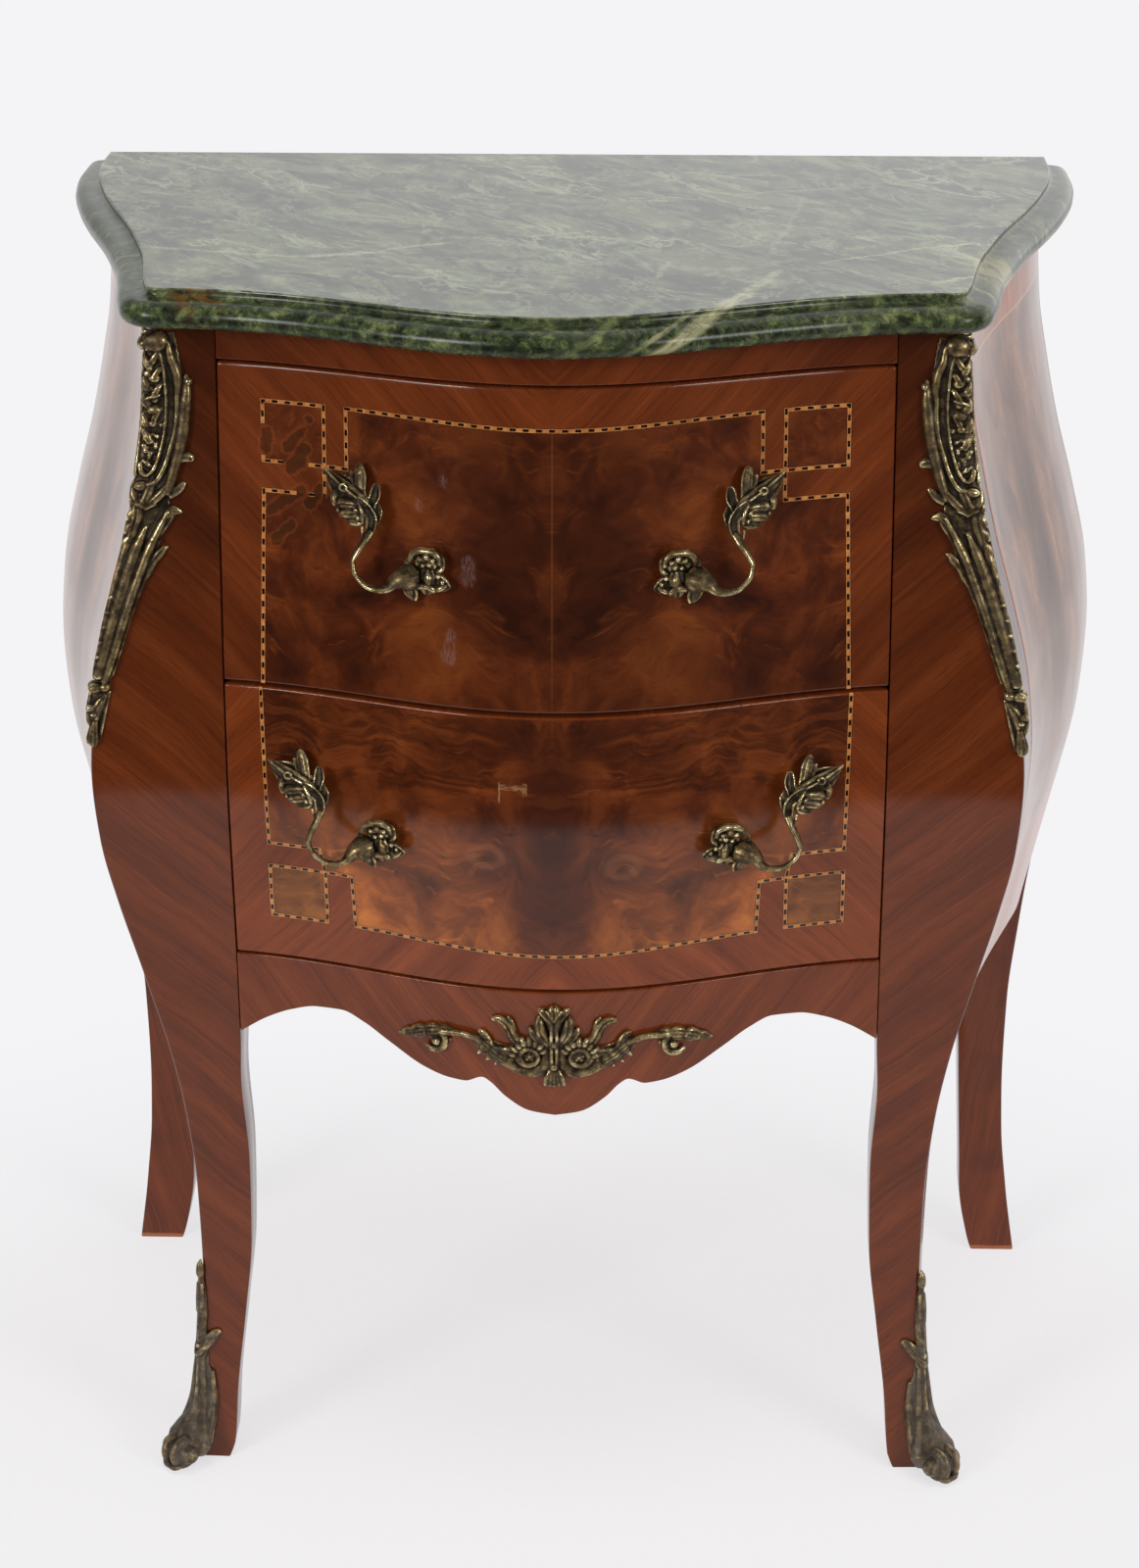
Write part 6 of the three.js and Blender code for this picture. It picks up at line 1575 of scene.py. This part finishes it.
# %% Apron mount drawing
def apron_mount_half():
    """The left half, across from the middle, height above the floor, lift."""
    eye = np.array((-14.8, 325.2))

    def about(angle, reach):
        return eye[0] + reach * math.cos(math.radians(angle)), eye[1] + reach * math.sin(math.radians(angle))

    gadroons = [rod((*about(a, 7), 2.6, 1.5), (*about(a, 9), 3.6, 1.9), (*about(a, 11.6), 2.6, 1.7))
                for a in range(24, 190, 22)]
    petals = [bead(*about(a, 2.3), 3, 1.6) for a in range(20, 360, 72)]
    ring = rod(*[(*about(a, 4.4 + 0.011 * abs(a - 60)), 3.6, 1.3 + 0.004 * abs(a - 60))
                 for a in range(230, -170, -12)], sides=14)
    serrations = [leaf((x - 5.6, z - 6.4, 1.2, 0.5), (x - 2.8, z - 3, 2.2, 1.7), (x, z, 3, 1.7), veins=1)
                  for x, z in ((-40.6, 329), (-35.6, 325.2), (-30.4, 322.6))]
    grounds = [bead(*eye, 0.8, 11.4, proud=0.2),
               leaf((-8, 322, 1.2, 8), (-22, 322, 1.6, 8), (-34, 325.6, 1.6, 7), (-42, 330.4, 1.4, 5),
                    (-50, 334.6, 1, 2.4), crown=0.06, thick=1),
               leaf((-3, 352, 0.8, 4), (-4.6, 344, 1.4, 6), (-7, 335, 1.6, 7), (-9, 326, 1.6, 7), crown=0.06,
                    thick=1)]
    return grounds + gadroons + petals + serrations + [
        ring, bead(*eye, 3.4, 1.6),
        leaf((-14.6, 344.6, 1.4, 0.9), (-13.4, 341.6, 2.8, 2.3), (-10.4, 337.4, 3.6, 2.8),
             (-6.4, 333, 3.8, 1.6), crown=0.5, veins=1),
        leaf((-8, 352, 1.4, 1.4), (-8.8, 348, 2.8, 3.2), (-8.2, 342.4, 3.8, 3.7), (-5.8, 337.4, 4.2, 2.9),
             (-3.4, 333, 4, 1.4), crown=0.5, veins=1),
        rod((-4.4, 356.2, 3.4, 0.7), (-2.2, 353.4, 5, 0.8), (0, 350.4, 5.8, 0.8)),
        rod((-1.5, 346, 4.4, 0.8), (-1.7, 336, 4.6, 1.1), (-1.6, 327, 4.6, 1.1), (-1.5, 319, 4.2, 1.3)),
        leaf((-18, 329, 2.2, 3), (-21.6, 333.6, 2.8, 3.6), (-24.8, 338.2, 3.4, 3.6), (-26.7, 343.2, 3.6, 3.4),
             (-29.6, 347, 3.2, 2.9), (-33.6, 348.8, 2.8, 2.2), (-37.4, 348, 2.2, 1.2), crown=0.45, veins=1),
        leaf((-27.6, 351, 1.6, 0.7), (-25.6, 347.4, 2.8, 1.7), (-24, 342, 3.2, 1.6), crown=0.5),
        leaf((-4.8, 339, 2.6, 1), (-3.5, 333, 3.2, 2.2), (-3.6, 327, 3.6, 2.9), (-4.9, 321, 4, 3.2),
             (-8.4, 316.5, 4.2, 3.3), (-13, 314.2, 4.2, 3.3), (-20.4, 315.4, 4, 3.1),
             (-26.5, 318.4, 3.6, 2.8), (-33, 321.4, 3.2, 2.4), (-41, 325.8, 2.6, 1.6), crown=0.35, veins=0,
             thick=2.6),
        leaf((-23, 318.6, 2.6, 2.2), (-30, 321.8, 3.2, 3.6), (-35.2, 325.3, 3.6, 4.6), (-40, 329.6, 3.6, 4.2),
             (-44, 332.8, 3.2, 3), (-49, 334.8, 3, 1.6), crown=0.4, veins=2, lobes=5),
        leaf((-36.4, 330.4, 2.8, 1.2), (-40, 335, 3.2, 2.2), (-42.8, 338, 2.6, 2.4),
             (-45.6, 339.8, 1.6, 0.9), veins=1),
        leaf((-19, 329, 2.4, 1.6), (-25, 327.6, 3, 2.6), (-31, 327.8, 3.2, 2.6), (-36.6, 329, 2.8, 1.4),
             veins=1, lobes=3),
        rod((-44, 333, 2.8, 1.9), (-50, 335.2, 3, 1.9), (-56, 336.2, 3, 1.9), (-62, 336.2, 3.2, 2.2),
            (-67.5, 336, 3.2, 2.5)),
        leaf((-60, 336.4, 2.4, 2.2), (-67, 336.2, 3, 3.9), (-76.4, 334.9, 3.2, 4.3), (-83, 333, 3, 4),
             (-88, 331.2, 2.6, 3.2), (-91.6, 330, 2, 1.9), (-94, 329.4, 1.2, 0.8), crown=0.45, veins=2,
             lobes=4),
        loop(-84.4, 331.8, 3.8, 1.4, 0.7),
        rod((-72.6, 338, 3.2, 0.7), (-73.4, 335.4, 4.6, 0.8), (-73.6, 332.4, 3.2, 0.7)),
        rod((-77.6, 337, 3.2, 0.7), (-78.2, 334.2, 4.6, 0.8), (-78.2, 331.4, 3.2, 0.7)),
        rod((-67.4, 334.4, 3, 2), (-65.6, 330.8, 3.2, 2.2), (-66.4, 326.8, 3.2, 2.4),
            (-69.6, 323.7, 3.2, 2.4), (-73.4, 323, 3, 2.1), (-76.6, 324.8, 2.4, 1.5)),
        bead(-71, 328.4, 2.8, 2.8), leaf((-62, 331, 1.6, 0.8), (-66, 328.4, 2.4, 2.4), (-70, 330, 2.6, 2.8),
                                         crown=0.4),
    ]


def on_apron(x, z, lift):
    return x, front_y(x, z) - np.maximum(lift, LEAST_LIFT), z


half = apron_mount_half()
middle = [
    leaf((0, 359.6, 1.2, 1.5), (0, 357.6, 2.4, 4), (0, 353.5, 3.4, 5.4), (0, 349, 4.2, 5),
         (0, 344.5, 4.4, 3.4), (0, 339, 4.2, 1.8), crown=0.4, veins=1),
    bead(0, 333.8, 4.6, 2), bead(0, 311.5, 1.6, 7, proud=0.5), bead(0, 318.6, 4, 2.6),
]
middle += [leaf((k * 9.4, 357, 1, 1), (k * 7, 355, 2.6, 2.6), (k * 3.6, 351, 3.6, 2.6), (k, 346, 4, 1.4),
                crown=0.5, veins=1) for k in (-1, 1)]
middle += [rod((k * 0.25, 317.6, 3.8, 1.1), (k * 0.8, 311.6, 4.8, 1.9), (k, 305.8 + 0.12 * abs(k), 3.2, 1.7))
           for k in (-5.4, -2.7, 0, 2.7, 5.4)]
cast_bronze("apron_mount_cast", [(part, on_apron) for part in half + other_side(half) + middle], "carcase",
            "apron_mount")

# %% [markdown]
# ## Inner boards and screws
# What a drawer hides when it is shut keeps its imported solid, because a plain board is already the right
# shape, and only gets a finish. Old oak and pine are dry and unvarnished, so they are matt, and their
# grain runs along the longest side of each board. The longest side is measured from the solid's own box.

# %% Plain boards and steel
def bare_wood(name, axis, dark, light):
    f = Finish(name, Roughness=0.75, Specular_IOR_Level=0.25)
    stretch = [1.0, 1.0, 1.0]
    stretch[axis] = 0.06
    board = f.stretched(f.stirred(f.millimetres(), 120, 12), tuple(stretch))
    rings, pores = f.noise(board, 9, 4, 0.6), f.noise(board, 1.2, 3, 0.6)
    wood = f.ramp(rings, (0.36, dark), (0.64, light))
    wood = f.tint(wood, dark, f.rise(pores, 0.54, 0.7), 0.35)
    dust = f.noise(f.millimetres(), 80, 4, 0.6)
    wood = f.tint(wood, "5a4634", f.rise(dust, 0.5, 0.7), 0.3)
    return f.set(Base_Color=wood, Normal=f.bump(f.total((rings, 0.5), (pores, 0.5)), 0.12, 0.6))


def screw_steel():
    f = Finish("dull_screw_steel", Metallic=0.9)
    scratches = f.noise(f.millimetres(), 1.0, 4, 0.6)
    return f.set(Base_Color=f.ramp(scratches, (0.3, "4c4a47"), (0.7, "8d8a84")),
                 Roughness=f.scaled(scratches, 0.3, 0.3))


BARE = {"oak": ("8a6238", "b58a58"), "pine": ("a87c48", "cfa870"), "veneer": ("5e2c14", "84461f")}
bare_finishes, STEEL = {}, screw_steel()
for name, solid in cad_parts.items():
    kind = next((word for word in BARE if word in solid.material_slots[0].material.name.lower()), None)
    if kind:
        low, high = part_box(name)
        axis = int(np.argmax(np.array(high) - np.array(low)))
        if (kind, axis) not in bare_finishes:
            bare_finishes[kind, axis] = bare_wood(f"bare_{kind}_along_{'xyz'[axis]}", axis, *BARE[kind])
        solid.material_slots[0].material = bare_finishes[kind, axis]
    elif "screw" in name:
        solid.material_slots[0].material = STEEL
# painted shade: the middle front rail, seen only through the gap between the drawers, gets a near-black wood
# colour that stands for the shade in that gap
shade_dark_rail_finish = bare_wood("dark_stained_rail", 0, "120905", "24130a")
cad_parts["middle_front_rail"].material_slots[0].material = shade_dark_rail_finish
kept = sum(not solid.hide_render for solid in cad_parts.values())
print("bare finishes:", len(bare_finishes), "kept solids:", kept)
